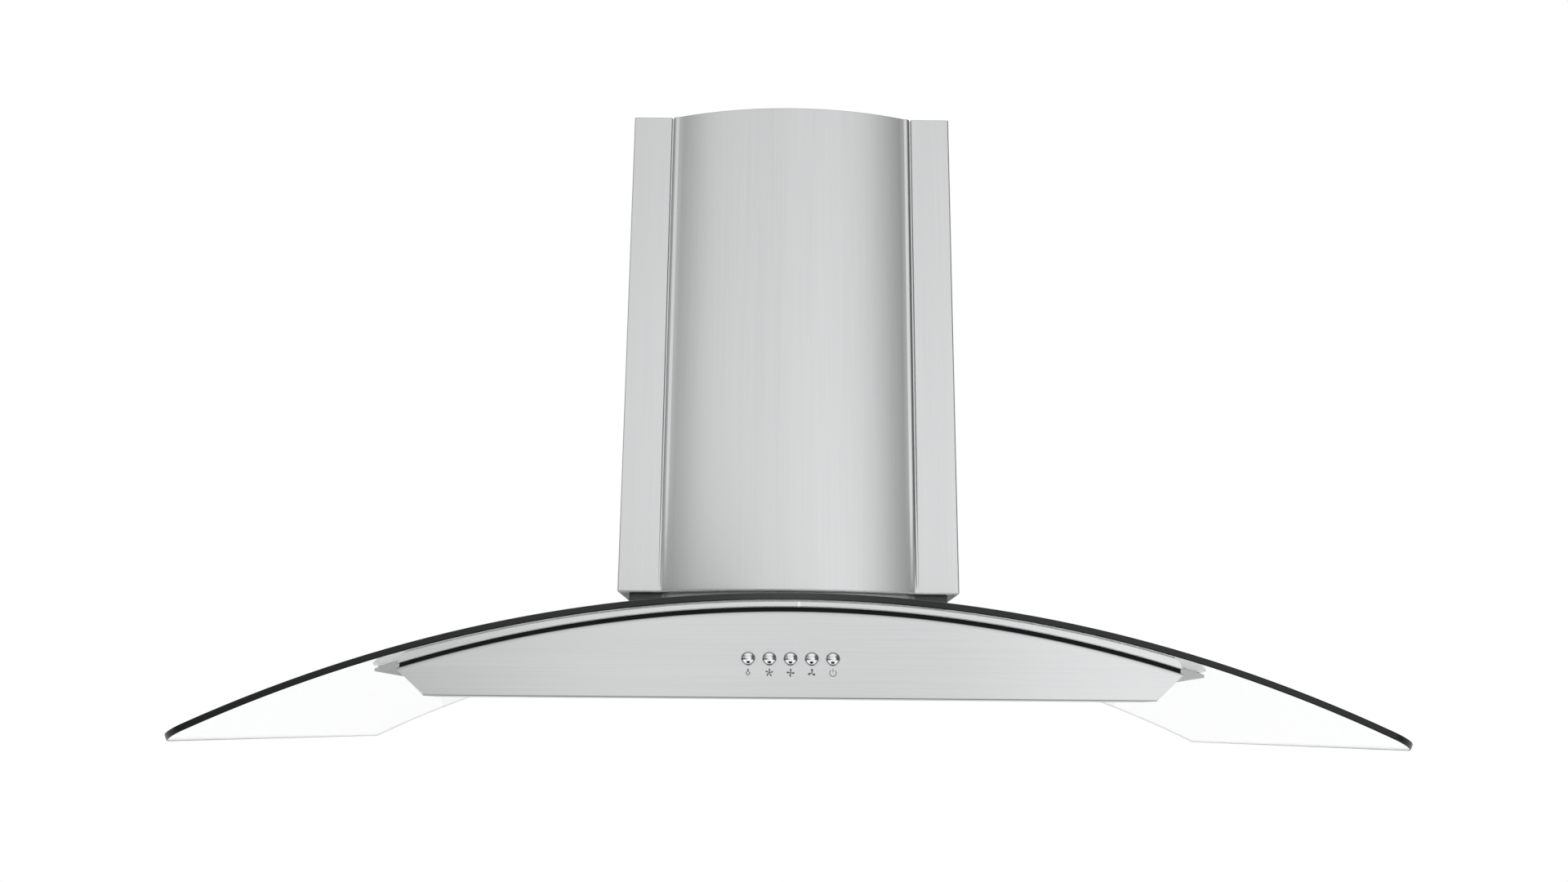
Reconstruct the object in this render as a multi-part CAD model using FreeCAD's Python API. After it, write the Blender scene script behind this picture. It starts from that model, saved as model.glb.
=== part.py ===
import FreeCAD, Part
import math
import os
from FreeCAD import Vector

# A wall-hung cooker hood with a curved glass canopy and a two-piece chimney.
# Frame: the wall is the plane y = 0 and the room is at -Y. +X is to the right of a
# person who faces the hood, and +Z is up. The origin is the middle of the four wall
# screws. Heights called "drop" are measured down from the crown of the glass, and
# "setback" is measured from the front edge of the glass towards the wall.

# --- Glass canopy ---
screws_above_glass = 170.0    # wall screws' centre above the crown of the glass
glass_width = 900.0
glass_reach = 500.0           # wall to the front edge
glass_wall_gap = 2.0
glass_thickness = 5.0
glass_radius = 1020.0         # of the upper surface
glass_corner_radius = 18.0
notch_clearance = 2.5         # between the glass and the blower box
notch_corner_radius = 6.0

# --- Gasket and bolts that hold the glass ---
gasket_thickness = 1.0
gasket_width = 8.0
gasket_inset = 2.0
gasket_relief = 0.1           # between the gasket and what lies above and below it
gasket_side_gap = 1.0         # between its front strip and the edges of the rail
bolt_angle = 12.5             # degrees round the glass from its crown
bolt_setbacks = (110.0, 390.0)
bolt_radius = 3.0
bolt_head_radius = 7.5
bolt_head_height = 3.4
bolt_dome = 2.4               # radius of the head's rounded edge
bolt_length = 17.0
washer_radius = 10.0
washer_thickness = 1.5
nut_radius = 5.5
nut_height = 5.0
nut_gap = 0.3
bolt_clearance = 0.3          # in the washers and the sheet
glass_hole_clearance = 0.6

# --- Front rail, dark seam and fascia ---
fascia_setback = 2.0
fascia_half_top = 280.0       # at the glass
fascia_half_wide = 284.0      # at the seam
fascia_half_bottom = 263.0
fascia_drop = 75.5            # bottom edge
fascia_sheet = 1.2
fascia_edge_radius = 0.8
fascia_corner_inset = 1.25    # inset of the inner lower corners, in sheets
fascia_clip_xs = (-210.0, -90.0, 90.0, 210.0)
fascia_clip_half = 10.0
fascia_clip_height = 10.0
fascia_screw_rise = 5.5       # screw above the clip's lower face
screw_point = 2.0             # length of a screw past the sheets it joins
rail_depth = 12.0
rail_end_sheet = 1.5          # thickness of its ends at the top, behind the bar
rail_end_gap = 0.5            # between them and the body
rail_end_height = 10.0        # of the rail's slanted ends
seam_radius = 957.5
seam_drop = 11.8              # middle of the seam, at the centre of the hood
seam_width = 2.8
seam_recess = 2.0
seam_depth = 8.0

# --- Lower body ---
pan_setback = 40.0
pan_floor_side = 17.0         # floor outside the filters' openings
pan_half_width = 311.0
pan_floor_drop = 63.0
pan_wing_edge = 1.1           # height of the body's outer edges, below its curved top
pan_sheet = 1.0
top_sheet = 1.0
pan_wall_gap = 4.0

# --- Blower box on the wall ---
box_half_width = 135.0
box_depth = 262.0
box_rise = 100.0              # top of the box above the wall screws' centre
box_sheet = 1.5
box_back = 2.0
wall_hole_radius = 4.0
wall_hole_spacing_x = 200.0
wall_hole_spacing_z = 140.0

# --- Chimney ---
chimney_half_width = 155.0
chimney_reach = 280.0         # wall to the flat strips beside the curved front
chimney_wall_gap = 2.0
chimney_rise = 22.0           # lower edge above the crown of the glass
chimney_height = 468.0
chimney_sheet = 1.0
bulge_half_width = 115.0
bulge_height = 22.0
chimney_return = 14.0         # rear edges folded inwards
collar_inset = 10.0
collar_return = 7.0
collar_gap = 0.3
upper_clearance = 0.6
upper_lift = 30.0             # lower edge of the upper cover above that of the lower one
upper_top_gap = 2.0
bracket_sheet = 2.0
bracket_height = 26.0
bracket_ear = 30.0
bracket_top_gap = 18.0
bracket_hole_radius = 3.0
bracket_hole_spacing = 200.0
clip_wall_distances = (220.0, 60.0)
clip_length = 22.0
clip_height = 18.0
clip_lift = 6.0
clip_sheet = 1.5
clip_screw_radius = 1.9
clip_head_radius = 3.8
clip_head_height = 2.2
clip_head_dome = 1.1

# --- Blower ---
blower_y = -115.0
blower_z = -55.0
volute_half_width = 60.0
volute_sheet = 1.5
volute_start_radius = 81.0
volute_end_radius = 118.0
volute_tongue_angle = 50.0
volute_arc_count = 4
volute_tongue_shift = 4.0     # degrees that the inner spiral starts earlier per mm of wall
volute_rear_shift = 1.2       # share of the wall by which the outlet's rear face moves in
volute_rear_lean = 0.5        # slope of the outlet's rear face
inlet_radius = 58.0
impeller_radius = 75.0
impeller_half_width = 52.0
blade_count = 32
blade_depth = 12.0
blade_thickness = 1.0
blade_pitch = 35.0            # degrees between a blade and the radius
impeller_ring = 2.5
impeller_ring_width = 7.2
hub_radius = 12.0
hub_length = 20.0
hub_left = -4.0
disc_thickness = 2.0
shaft_radius = 5.0
shaft_clearance = 0.05
shaft_overhang = 3.0          # past the hub
motor_radius = 40.0
motor_length = 58.0
motor_edge_radius = 5.0
motor_overhang = 4.0          # the motor's outer end stands this far outside the volute
bearing_radius = 11.0
bearing_width = 7.0
bearing_recess = 1.0          # below the motor's end faces
motor_bore_gap = 1.0
arm_count = 3
arm_width = 14.0
arm_thickness = 2.0
arm_hub_radius = 20.0
bush_radius = 6.0
bush_circle = 66.0
motor_screw_radius = 1.9
motor_screw_head = 4.0
screw_head_height = 2.4
screw_clearance = 0.2

# --- Outlet and its two flaps ---
spigot_y = -172.0
spigot_radius = 75.0
spigot_wall = 1.6
spigot_height = 40.0
spigot_flange = 84.0
spigot_flange_thickness = 2.0
flap_pin_rise = 16.0
flap_pin_radius = 2.0
flap_pin_clearance = 0.08
flap_thickness = 1.2
flap_gap = 0.8
flap_ledge = 4.4
flap_ledge_thickness = 1.6
knuckle_radius = 4.5
knuckle_length = 28.0
knuckle_pitch = 30.0
knuckle_gap = 0.5             # between a knuckle and the other flap's edge
stop_gap = 0.3

# --- Filters in the floor of the body ---
filter_rib = 16.0             # floor between the two filters
filter_opening_width = 250.0
filter_setback = 108.0        # front of the filters' openings
filter_wall_distance = 60.0
filter_clearance = 1.5
filter_height = 9.0
filter_rim = 14.0
filter_front_rim = 28.0
mesh_sheet = 0.8
mesh_gap = 2.4                # from each face of the frame
mesh_columns = 9
mesh_rows = 15
mesh_bridge = 3.0
pivot_radius = 2.5
pivot_clearance = 0.05
pivot_inset = 4.5
pivot_ear = 3.0
pivot_ear_height = 8.0
pivot_side_gap = 1.0
latch_half_width = 25.0
latch_pocket_side = 3.0
latch_wall = 4.0
latch_length = 10.2
latch_travel = 5.0
latch_spring_room = 2.5
latch_gap = 0.3
latch_tongue_half_width = 6.0
latch_tongue_height = 2.0
latch_tongue_reach = 4.0
latch_roof = 2.5
latch_rod_radius = 1.2
latch_rod_clearance = 0.1
latch_rod_end = 1.0           # of the guide rod inside the pocket's rear wall
latch_spring_radius = 2.3
latch_spring_wire = 0.35
latch_spring_turns = 5
latch_spring_gap = 0.1
grip_groove_count = 4
grip_groove_half = 14.0
grip_groove_pitch = 1.9
grip_groove_width = 1.0
grip_groove_start = 2.0
grip_groove_depth = 0.8

# --- Lamps ---
lamp_inset = 121.0            # lamps' centres in from the sides of the body
lamp_setback = 75.0
lamp_hole_radius = 27.0
lamp_fit = 0.5
lamp_tube_wall = 2.0
lamp_tube_height = 12.0
lamp_ledge = 2.0              # the lens rests on it
lamp_flange = 32.0
lamp_flange_thickness = 1.4
lamp_flange_round = 0.84
lens_thickness = 2.5
lens_fit = 0.2
lamp_body_radius = 21.0
lamp_body_height = 14.0
lamp_fin_count = 10
lamp_fin_length = 3.2
lamp_fin_thickness = 1.6

# --- Push buttons ---
button_names = ("lamp", "fast", "medium", "slow", "power")
button_pitch = 15.3
button_drop = 47.4
button_radius = 4.1
button_proud = 2.0
button_length = 9.0
button_dome = 1.5
button_clearance = 0.15
button_travel = 3.5
button_ring_width = 0.8
button_ring_proud = 0.6
button_stem_radius = 1.5
button_stem_length = 7.5
housing_half_height = 9.0
housing_side = 8.0
housing_depth = 20.0
board_thickness = 1.6
board_inset = 1.0
switch_size = 6.0
switch_pocket_clearance = 0.5
stem_clearance = 0.2

# --- Electrical parts in the blower box ---
junction_size = (34.0, 84.0, 56.0)
junction_front_y = -205.0
junction_bottom_z = -10.0
junction_wall = 2.0
junction_lid_thickness = 2.0
capacitor_radius = 16.0
capacitor_height = 62.0
capacitor_edge = 2.0
capacitor_y = -60.0
capacitor_z = -5.0
gland_x = 106.0
gland_y = -36.0
gland_bore = 3.6
gland_radius = 8.0
gland_nut_radius = 11.0
gland_nut_height = 5.0
gland_below = 9.0
gland_above = 14.0

# --- Places worked out from the sizes above ---
glass_top = -screws_above_glass
glass_centre_z = glass_top - glass_radius
under_glass = glass_radius - glass_thickness
top_outside = under_glass - gasket_thickness
top_inside = top_outside - top_sheet
front_edge = -glass_reach
fascia_front = front_edge + fascia_setback
pan_front = front_edge + pan_setback
pan_half_floor = filter_rib / 2 + filter_opening_width + pan_floor_side
lamp_x = pan_half_width - lamp_inset
floor_z = glass_top - pan_floor_drop
chimney_bottom = glass_top + chimney_rise
chimney_top = chimney_bottom + chimney_height
upper_bottom = chimney_bottom + upper_lift
button_z = glass_top - button_drop
flap_pin_z = box_rise + flap_pin_rise
overlap = 0.5                 # shapes of one solid are drawn this far into each other
margin = 1.0                  # cutters start and end this far outside the shape
near = 0.01                   # two places closer than this are the same
trim_depth = 100.0            # shapes that end on the glass start this far below its crown
through = 20.0                # length of a cutter for a thin wall
big = 500.0                   # length of a cutter for the whole hood


# --- Shapes that several pieces share ---
def block(x0, x1, y0, y1, z0, z1):
    """A box between two corners."""
    return Part.makeBox(x1 - x0, y1 - y0, z1 - z0, Vector(x0, y0, z0))


def rod(radius, x, y, z, axis, length):
    """A round bar from a point along an axis."""
    return Part.makeCylinder(radius, length, Vector(x, y, z), axis)


def tube(outer, inner, x, y, z, axis, length):
    """A round bar with a bore."""
    return rod(outer, x, y, z, axis, length).cut(rod(inner, x, y, z, axis, length))


def prism(points, along):
    """A closed polygon extruded along a vector."""
    wire = Part.makePolygon(points + [points[0]])
    return Part.Face(wire).extrude(along)


def joined(shapes):
    """Shapes fused to one solid with no leftover seams."""
    return shapes[0].multiFuse(shapes[1:]).removeSplitter()


def mirrored(shape):
    """The same shape on the other side of the hood's middle plane."""
    return shape.mirror(Vector(0, 0, 0), Vector(1, 0, 0))


def inside_arc(radius, y0, y1):
    """A full bar round the axis of the glass's curve."""
    return rod(radius, 0, y0, glass_centre_z, Y, y1 - y0)


def arc_height(radius, x):
    """Height at x of a surface that is concentric with the glass."""
    return glass_centre_z + math.sqrt(radius * radius - x * x)


def round_glass(shape, angle):
    """A shape built at the crown of the glass, turned round the glass's curve."""
    turned = shape.copy()
    turned.rotate(Vector(0, 0, glass_centre_z), Y, angle)
    return turned


def export(name, *solids):
    """One STEP file for one node."""
    shape = solids[0] if len(solids) == 1 else Part.makeCompound(list(solids))
    shape.exportStep(f"parts/{name}.step")


X = Vector(1, 0, 0)
Y = Vector(0, 1, 0)
Z = Vector(0, 0, 1)


# --- Glass canopy and what holds it ---
def curved_sheet(outer, inner, half_angle, y0, y1):
    """A sheet bent round the glass's axis, with its side edges square to it."""
    def at(radius, angle):
        turn = math.radians(angle)
        return Vector(radius * math.sin(turn), y0, glass_centre_z + radius * math.cos(turn))

    left, right = -half_angle, half_angle
    edges = [
        Part.Arc(at(outer, left), at(outer, 0), at(outer, right)).toShape(),
        Part.LineSegment(at(outer, right), at(inner, right)).toShape(),
        Part.Arc(at(inner, right), at(inner, 0), at(inner, left)).toShape(),
        Part.LineSegment(at(inner, left), at(outer, left)).toShape(),
    ]
    return Part.Face(Part.Wire(edges)).extrude(Vector(0, y1 - y0, 0))


def upright_edges_at(shape, y):
    """The short edges across the sheet's thickness at one end of it."""
    return [
        edge for edge in shape.Edges
        if abs(edge.CenterOfMass.y - y) < near and edge.Length < 2 * glass_thickness
    ]


def notch(clearance, corner):
    """The room that the blower box needs, open at the wall."""
    half = box_half_width + clearance
    front = -box_depth - clearance
    shape = block(-half, half, front, margin, glass_top - big, glass_top + big)
    corners = [
        edge for edge in shape.Edges
        if abs(edge.CenterOfMass.y - front) < near and abs(edge.CenterOfMass.z - glass_top) < near
    ]
    return shape.makeFillet(corner, [edge for edge in corners if edge.Length > big])


def bolt_places():
    """Angle round the glass and y of each of its four bolts."""
    return [(side * bolt_angle, front_edge + back) for side in (-1, 1) for back in bolt_setbacks]


def glass_canopy():
    half_angle = math.degrees(math.asin(glass_width / 2 / glass_radius))
    sheet = curved_sheet(glass_radius, under_glass, half_angle, front_edge, -glass_wall_gap)
    sheet = sheet.makeFillet(glass_corner_radius, upright_edges_at(sheet, front_edge))
    sheet = sheet.cut(notch(notch_clearance, notch_corner_radius))
    for angle, y in bolt_places():
        hole = rod(bolt_radius + glass_hole_clearance, 0, y, glass_top - through / 2, Z, through)
        sheet = sheet.cut(round_glass(hole, angle))
    return sheet


def glass_gasket():
    """A strip along the front rail, and a ring on the body's top and round the notch."""
    def band(half, y0, y1):
        return block(-half, half, y0, y1, glass_top - big, glass_top + margin)

    shell = inside_arc(under_glass - gasket_relief, front_edge, 0)
    shell = shell.cut(inside_arc(top_outside + gasket_relief, front_edge, 0))
    strip_half = fascia_half_top - gasket_inset
    rail_rear = fascia_front + rail_depth
    strip = shell.common(band(strip_half, fascia_front + gasket_side_gap, rail_rear - gasket_side_gap))
    half = pan_half_width - gasket_inset
    front = pan_front + gasket_inset
    rear = -pan_wall_gap - gasket_inset
    width = gasket_width
    window = band(half - width, front + width, rear - width)
    window = window.cut(notch(notch_clearance + width, notch_corner_radius))
    ring = shell.common(band(half, front, rear)).cut(window)
    ring = ring.cut(notch(notch_clearance, notch_corner_radius))
    return strip.Solids + ring.Solids


def glass_fixings():
    """Dome-headed bolts, soft washers on both sides of the glass, and nuts."""
    bolts, washers, nuts = [], [], []
    washer_below = gasket_thickness - gasket_relief
    for angle, y in bolt_places():
        head = rod(bolt_head_radius, 0, y, glass_top + washer_thickness, Z, bolt_head_height)
        head = head.makeFillet(bolt_dome, [head.Edges[0]])
        shank_bottom = glass_top + washer_thickness - bolt_length
        shank = rod(bolt_radius, 0, y, shank_bottom, Z, bolt_length)
        bolts.append(round_glass(joined([head, shank]), angle))
        bore = bolt_radius + bolt_clearance
        upper = tube(washer_radius, bore, 0, y, glass_top, Z, washer_thickness)
        seat = glass_top - glass_thickness - gasket_thickness
        lower = tube(washer_radius, bore, 0, y, seat, Z, washer_below)
        washers.append(round_glass(upper, angle))
        washers.append(round_glass(lower, angle))
        nut_top = seat - top_sheet - nut_gap
        points = []
        for corner in range(6):
            turn = math.radians(60 * corner)
            points.append(Vector(nut_radius * math.cos(turn), y + nut_radius * math.sin(turn), nut_top))
        nut = prism(points, Vector(0, 0, -nut_height)).cut(shank)
        nuts.append(round_glass(nut, angle))
    return bolts, washers, nuts


# --- Front rail, seam and fascia ---
def seam_height(x, offset):
    """Height at x of the seam's arc, moved up or down by an offset."""
    crown = glass_top - seam_drop + offset
    return crown - seam_radius + math.sqrt(seam_radius * seam_radius - x * x)


def arc_through(half, height_at, y):
    """An arc across the front from left to right at the height given by a function."""
    left = Vector(-half, y, height_at(half))
    middle = Vector(0, y, height_at(0))
    right = Vector(half, y, height_at(half))
    return Part.Arc(left, middle, right).toShape()


def front_profile(top_half, top_at, bottom_half, bottom_at, y):
    """A face across the front between two arcs, with straight ends."""
    upper = arc_through(top_half, top_at, y)
    lower = arc_through(bottom_half, bottom_at, y)
    sides = []
    for side in (-1, 1):
        high = Vector(side * top_half, y, top_at(top_half))
        low = Vector(side * bottom_half, y, bottom_at(bottom_half))
        sides.append(Part.LineSegment(high, low).toShape())
    return Part.Face(Part.Wire(Part.__sortEdges__([upper, lower] + sides)))


def seam_half(offset):
    """Half length of the seam at one of its edges, which lies on the fascia's slanted end."""
    slope = (fascia_half_wide - fascia_half_top) / rail_end_height
    return fascia_half_wide - slope * offset


def glass_rail():
    """A bar under the glass's front edge, with ends that reach back to the body."""
    def top_at(x):
        return arc_height(top_outside, x)

    def bottom_at(x):
        return seam_height(x, seam_width / 2)

    face = front_profile(fascia_half_top, top_at, seam_half(seam_width / 2), bottom_at, fascia_front)
    rear = pan_front - rail_end_gap
    half = fascia_half_top - rail_end_sheet
    room = block(-half, half, fascia_front + rail_depth, rear + margin, glass_top - big, glass_top)
    return face.extrude(Vector(0, rear - fascia_front, 0)).cut(room)


def seam_seal():
    half = fascia_half_wide - seam_recess
    face = front_profile(
        half, lambda x: seam_height(x, seam_width / 2),
        half, lambda x: seam_height(x, -seam_width / 2), fascia_front + seam_recess)
    return face.extrude(Vector(0, seam_depth, 0))


def fascia_face(y, inset):
    """The outline of the fascia, drawn in by an inset on every side."""
    half = fascia_half_wide - inset
    bottom_half = fascia_half_bottom - inset * fascia_corner_inset
    bottom = glass_top - fascia_drop + inset

    def top_at(x):
        return seam_height(x, -seam_width / 2 - inset)

    ends = [
        Vector(half, y, top_at(half)),
        Vector(bottom_half, y, bottom),
        Vector(-bottom_half, y, bottom),
        Vector(-half, y, top_at(half)),
    ]
    edges = [arc_through(half, top_at, y)]
    for start, end in zip(ends, ends[1:]):
        edges.append(Part.LineSegment(start, end).toShape())
    return Part.Face(Part.Wire(Part.__sortEdges__(edges)))


def fascia_panel():
    """A sheet tray with flanges folded back, and five round holes for the buttons."""
    depth = pan_front - fascia_front
    outer = fascia_face(fascia_front, 0).extrude(Vector(0, depth, 0))
    front_edges = [e for e in outer.Edges if abs(e.CenterOfMass.y - fascia_front) < near]
    outer = outer.makeFillet(fascia_edge_radius, front_edges)
    inner = fascia_face(fascia_front + fascia_sheet, fascia_sheet).extrude(Vector(0, depth, 0))
    tray = outer.cut(inner)
    for x in button_xs():
        start = fascia_front - margin
        hole = rod(button_radius + button_clearance, x, start, button_z, Y, fascia_sheet + 2 * margin)
        tray = tray.cut(hole)
    return tray


def fascia_fixings():
    """Angle clips from the fascia's back to the pan's front wall, each with a screw."""
    clips, screws = [], []
    back = fascia_front + fascia_sheet
    sheet = clip_sheet
    for x in fascia_clip_xs:
        x0, x1 = x - fascia_clip_half, x + fascia_clip_half
        z0 = (seam_height(abs(x), 0) + glass_top - fascia_drop) / 2
        z1 = z0 + fascia_clip_height
        arm = block(x0, x1, back, pan_front, z0, z0 + sheet)
        foot = block(x0, x1, back, back + sheet, z0, z1)
        tab = block(x0, x1, pan_front - sheet, pan_front, z0, z1)
        screw_z = z0 + fascia_screw_rise
        shank_y = pan_front - sheet - screw_point
        shank_length = sheet + screw_point + pan_sheet
        shank = rod(clip_screw_radius, x, shank_y, screw_z, Y, shank_length)
        head = rod(clip_head_radius, x, pan_front + pan_sheet, screw_z, Y, clip_head_height)
        clips.append(joined([arm, foot, tab]).cut(shank))
        screws.append(joined([shank, head]))
    return clips, screws


# --- Lower body ---
def pan_outline(inset, y):
    """Cross section of the pan: a flat floor with wings that rise to the glass."""
    half = pan_half_width - inset
    floor = floor_z + inset
    wing = arc_height(top_inside, pan_half_width) - pan_wing_edge + inset
    top = glass_top + margin
    return [
        Vector(-pan_half_floor, y, floor), Vector(pan_half_floor, y, floor),
        Vector(half, y, wing), Vector(half, y, top),
        Vector(-half, y, top), Vector(-half, y, wing),
    ]


def filter_opening(clearance):
    """The left filter's place in the floor: x from, x to, y front, y rear."""
    inner = filter_rib / 2 + clearance
    outer = filter_rib / 2 + filter_opening_width - clearance
    rear = -filter_wall_distance - clearance
    front = front_edge + filter_setback + clearance
    return -outer, -inner, front, rear


def body_pan():
    """A sheet tray that closes the body from below."""
    depth = -pan_wall_gap - pan_front
    outer = prism(pan_outline(0, pan_front), Vector(0, depth, 0))
    outer = outer.common(inside_arc(top_inside, pan_front, 0))
    inner_depth = depth - 2 * pan_sheet
    inner = prism(pan_outline(pan_sheet, pan_front + pan_sheet), Vector(0, inner_depth, 0))
    pan = outer.cut(inner)
    x0, x1, y0, y1 = filter_opening(0)
    opening = block(x0, x1, y0, y1, floor_z - margin, floor_z + pan_sheet + margin)
    lamp_y = front_edge + lamp_setback
    lamp = rod(lamp_hole_radius, -lamp_x, lamp_y, floor_z - margin, Z, pan_sheet + 2 * margin)
    for cutter in (opening, lamp):
        pan = pan.cut(cutter).cut(mirrored(cutter))
    for screw in fascia_fixings()[1]:
        pan = pan.cut(screw)
    return pan


def body_top():
    """The curved sheet under the glass, open below the blower box.

    In front of the body it is a tongue between the ends of the rail.
    """
    front = fascia_front + rail_depth
    shell = inside_arc(top_outside, front, -pan_wall_gap)
    shell = shell.cut(inside_arc(top_inside, front, -pan_wall_gap))
    sheet = shell.common(block(
        -pan_half_width, pan_half_width, front, -pan_wall_gap, glass_top - trim_depth, glass_top))
    sheet = sheet.cut(notch(-box_sheet, notch_corner_radius))
    tongue_half = fascia_half_top - rail_end_sheet - rail_end_gap
    corner = block(tongue_half, pan_half_width + margin, front - margin, pan_front,
                   glass_top - trim_depth, glass_top)
    sheet = sheet.cut(corner).cut(mirrored(corner))
    for angle, y in bolt_places():
        hole = rod(bolt_radius + bolt_clearance, 0, y, glass_top - through / 2, Z, through)
        sheet = sheet.cut(round_glass(hole, angle))
    return sheet


# --- Blower box ---
def blower_box():
    """A sheet box on the wall, open below, with the outlet hole in its top."""
    outer = block(-box_half_width, box_half_width, -box_depth, 0, glass_top - trim_depth, box_rise)
    inner = block(
        -box_half_width + box_sheet, box_half_width - box_sheet,
        -box_depth + box_sheet, -box_back, glass_top - 2 * trim_depth, box_rise - box_sheet)
    box = outer.cut(inner).cut(inside_arc(top_outside, -box_depth - margin, margin))
    for side_x in (-1, 1):
        for side_z in (-1, 1):
            x = side_x * wall_hole_spacing_x / 2
            z = side_z * wall_hole_spacing_z / 2
            box = box.cut(rod(wall_hole_radius, x, -box_back - margin, z, Y, box_back + 2 * margin))
    under, length = box_rise - box_sheet - margin, box_sheet + 2 * margin
    outlet = rod(spigot_radius - spigot_wall, 0, spigot_y, under, Z, length)
    gland = rod(gland_radius, gland_x, gland_y, under, Z, length)
    return box.cut(outlet).cut(gland)


# --- Chimney covers ---
def chimney_face(inset, rear, z):
    """Plan of the chimney: flat strips on both sides of a curved front."""
    rise, half = bulge_height, bulge_half_width
    radius = (half * half + rise * rise) / (2 * rise)
    centre_y = -chimney_reach - rise + radius
    side = chimney_half_width - inset
    front = -chimney_reach + inset
    reach = front - centre_y
    crease = math.sqrt((radius - inset) ** 2 - reach * reach)
    arc = Part.Arc(
        Vector(-crease, front, z), Vector(0, centre_y - radius + inset, z), Vector(crease, front, z))
    corners = [
        Vector(crease, front, z), Vector(side, front, z), Vector(side, rear, z),
        Vector(-side, rear, z), Vector(-side, front, z), Vector(-crease, front, z),
    ]
    edges = [arc.toShape()]
    for start, end in zip(corners, corners[1:]):
        edges.append(Part.LineSegment(start, end).toShape())
    return Part.Face(Part.Wire(edges))


def chimney_shell(inset, sheet, fold, rear, z0, z1):
    """A cover of one sheet, open at the wall between two narrow returns."""
    height = Vector(0, 0, z1 - z0)
    outer = chimney_face(inset, rear, z0).extrude(height)
    inner = chimney_face(inset + sheet, rear - sheet, z0).extrude(height)
    opening = chimney_half_width - inset - fold
    gap = block(-opening, opening, rear - 2 * sheet, margin, z0 - margin, z1 + margin)
    return outer.cut(inner).cut(gap)


def chimney_lower():
    """The fixed cover, with an edge folded inwards at its foot."""
    rear = -chimney_wall_gap
    shell = chimney_shell(0, chimney_sheet, chimney_return, rear, chimney_bottom, chimney_top)
    foot = chimney_face(0, rear, chimney_bottom)
    hole = chimney_face(collar_inset + 2 * chimney_sheet, rear, chimney_bottom)
    foot = foot.cut(hole).extrude(Vector(0, 0, chimney_sheet))
    cover = joined([shell, foot])
    for screw in chimney_fixings()[1]:
        cover = cover.cut(screw)
    return cover


def chimney_upper():
    """The sliding cover, nested in the lower one."""
    inset = chimney_sheet + upper_clearance
    rear = -chimney_wall_gap - inset
    top = chimney_top - upper_top_gap
    return chimney_shell(inset, chimney_sheet, chimney_return, rear, upper_bottom, top)


def chimney_bracket():
    """A strip behind the top of the upper cover, screwed to the wall."""
    inset = 2 * chimney_sheet + upper_clearance
    rear = -chimney_wall_gap - inset
    half = chimney_half_width - inset
    z1 = chimney_top - upper_top_gap - bracket_top_gap
    z0 = z1 - bracket_height
    parts = [block(-half, half, rear - bracket_sheet, rear, z0, z1)]
    parts.append(block(-half, -half + bracket_sheet, rear - bracket_ear, rear, z0, z1))
    parts.append(block(half - bracket_sheet, half, rear - bracket_ear, rear, z0, z1))
    bracket = joined(parts)
    for side in (-1, 1):
        x = side * bracket_hole_spacing / 2
        start = rear - bracket_sheet - margin
        hole = rod(bracket_hole_radius, x, start, (z0 + z1) / 2, Y, bracket_sheet + 2 * margin)
        bracket = bracket.cut(hole)
    return bracket


def chimney_collar():
    """The narrower skirt between the chimney and the glass."""
    z0 = glass_top - trim_depth
    rear = -chimney_wall_gap
    shell = chimney_shell(collar_inset, chimney_sheet, collar_return, rear, z0, chimney_bottom)
    return shell.cut(inside_arc(glass_radius + collar_gap, -big, big))


def chimney_fixings():
    """Channel clips between the blower box and the lower cover, each with a screw."""
    clips, screws = [], []
    x0, x1 = box_half_width, chimney_half_width - chimney_sheet
    z0 = chimney_bottom + chimney_sheet + clip_lift
    z1 = z0 + clip_height
    for distance in clip_wall_distances:
        y0 = -distance
        y1 = y0 + clip_length
        outer = block(x0, x1, y0, y1, z0, z1)
        hollow = block(x0 - margin, x1 - clip_sheet, y0 + clip_sheet, y1 - clip_sheet,
                       z0 - margin, z1 + margin)
        y, z = (y0 + y1) / 2, (z0 + z1) / 2
        shank_length = screw_point + clip_sheet + chimney_sheet
        shank = rod(clip_screw_radius, chimney_half_width - shank_length, y, z, X, shank_length)
        head = rod(clip_head_radius, chimney_half_width, y, z, X, clip_head_height)
        head = head.makeFillet(clip_head_dome, [head.Edges[0]])
        clip = outer.cut(hollow).cut(shank)
        screw = joined([shank, head])
        clips += [clip, mirrored(clip)]
        screws += [screw, mirrored(screw)]
    return clips, screws


# --- Blower ---
def volute_point(angle, inset):
    """A point on the spiral wall. The angle runs from the front over the top."""
    share = (angle - volute_tongue_angle) / (360.0 - volute_tongue_angle)
    radius = volute_start_radius + (volute_end_radius - volute_start_radius) * share - inset
    turn = math.radians(angle)
    return Vector(0, blower_y - radius * math.cos(turn), blower_z + radius * math.sin(turn))


def volute_face(inset, top):
    """Spiral section that opens into an upright outlet at the front."""
    outer_y = blower_y - volute_end_radius + inset
    start_angle = volute_tongue_angle - volute_tongue_shift * inset
    start = volute_point(start_angle, inset)
    rear_y = blower_y - inset * volute_rear_shift + (top - outlet_top()) * volute_rear_lean
    edges = []
    step = (360.0 - start_angle) / volute_arc_count
    for index in range(volute_arc_count):
        begin = start_angle + index * step
        edges.append(Part.Arc(
            volute_point(begin, inset), volute_point(begin + step / 2, inset),
            volute_point(begin + step, inset)).toShape())
    corners = [volute_point(360, inset), Vector(0, outer_y, top), Vector(0, rear_y, top), start]
    for begin, end in zip(corners, corners[1:]):
        edges.append(Part.LineSegment(begin, end).toShape())
    return Part.Face(Part.Wire(edges))


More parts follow.
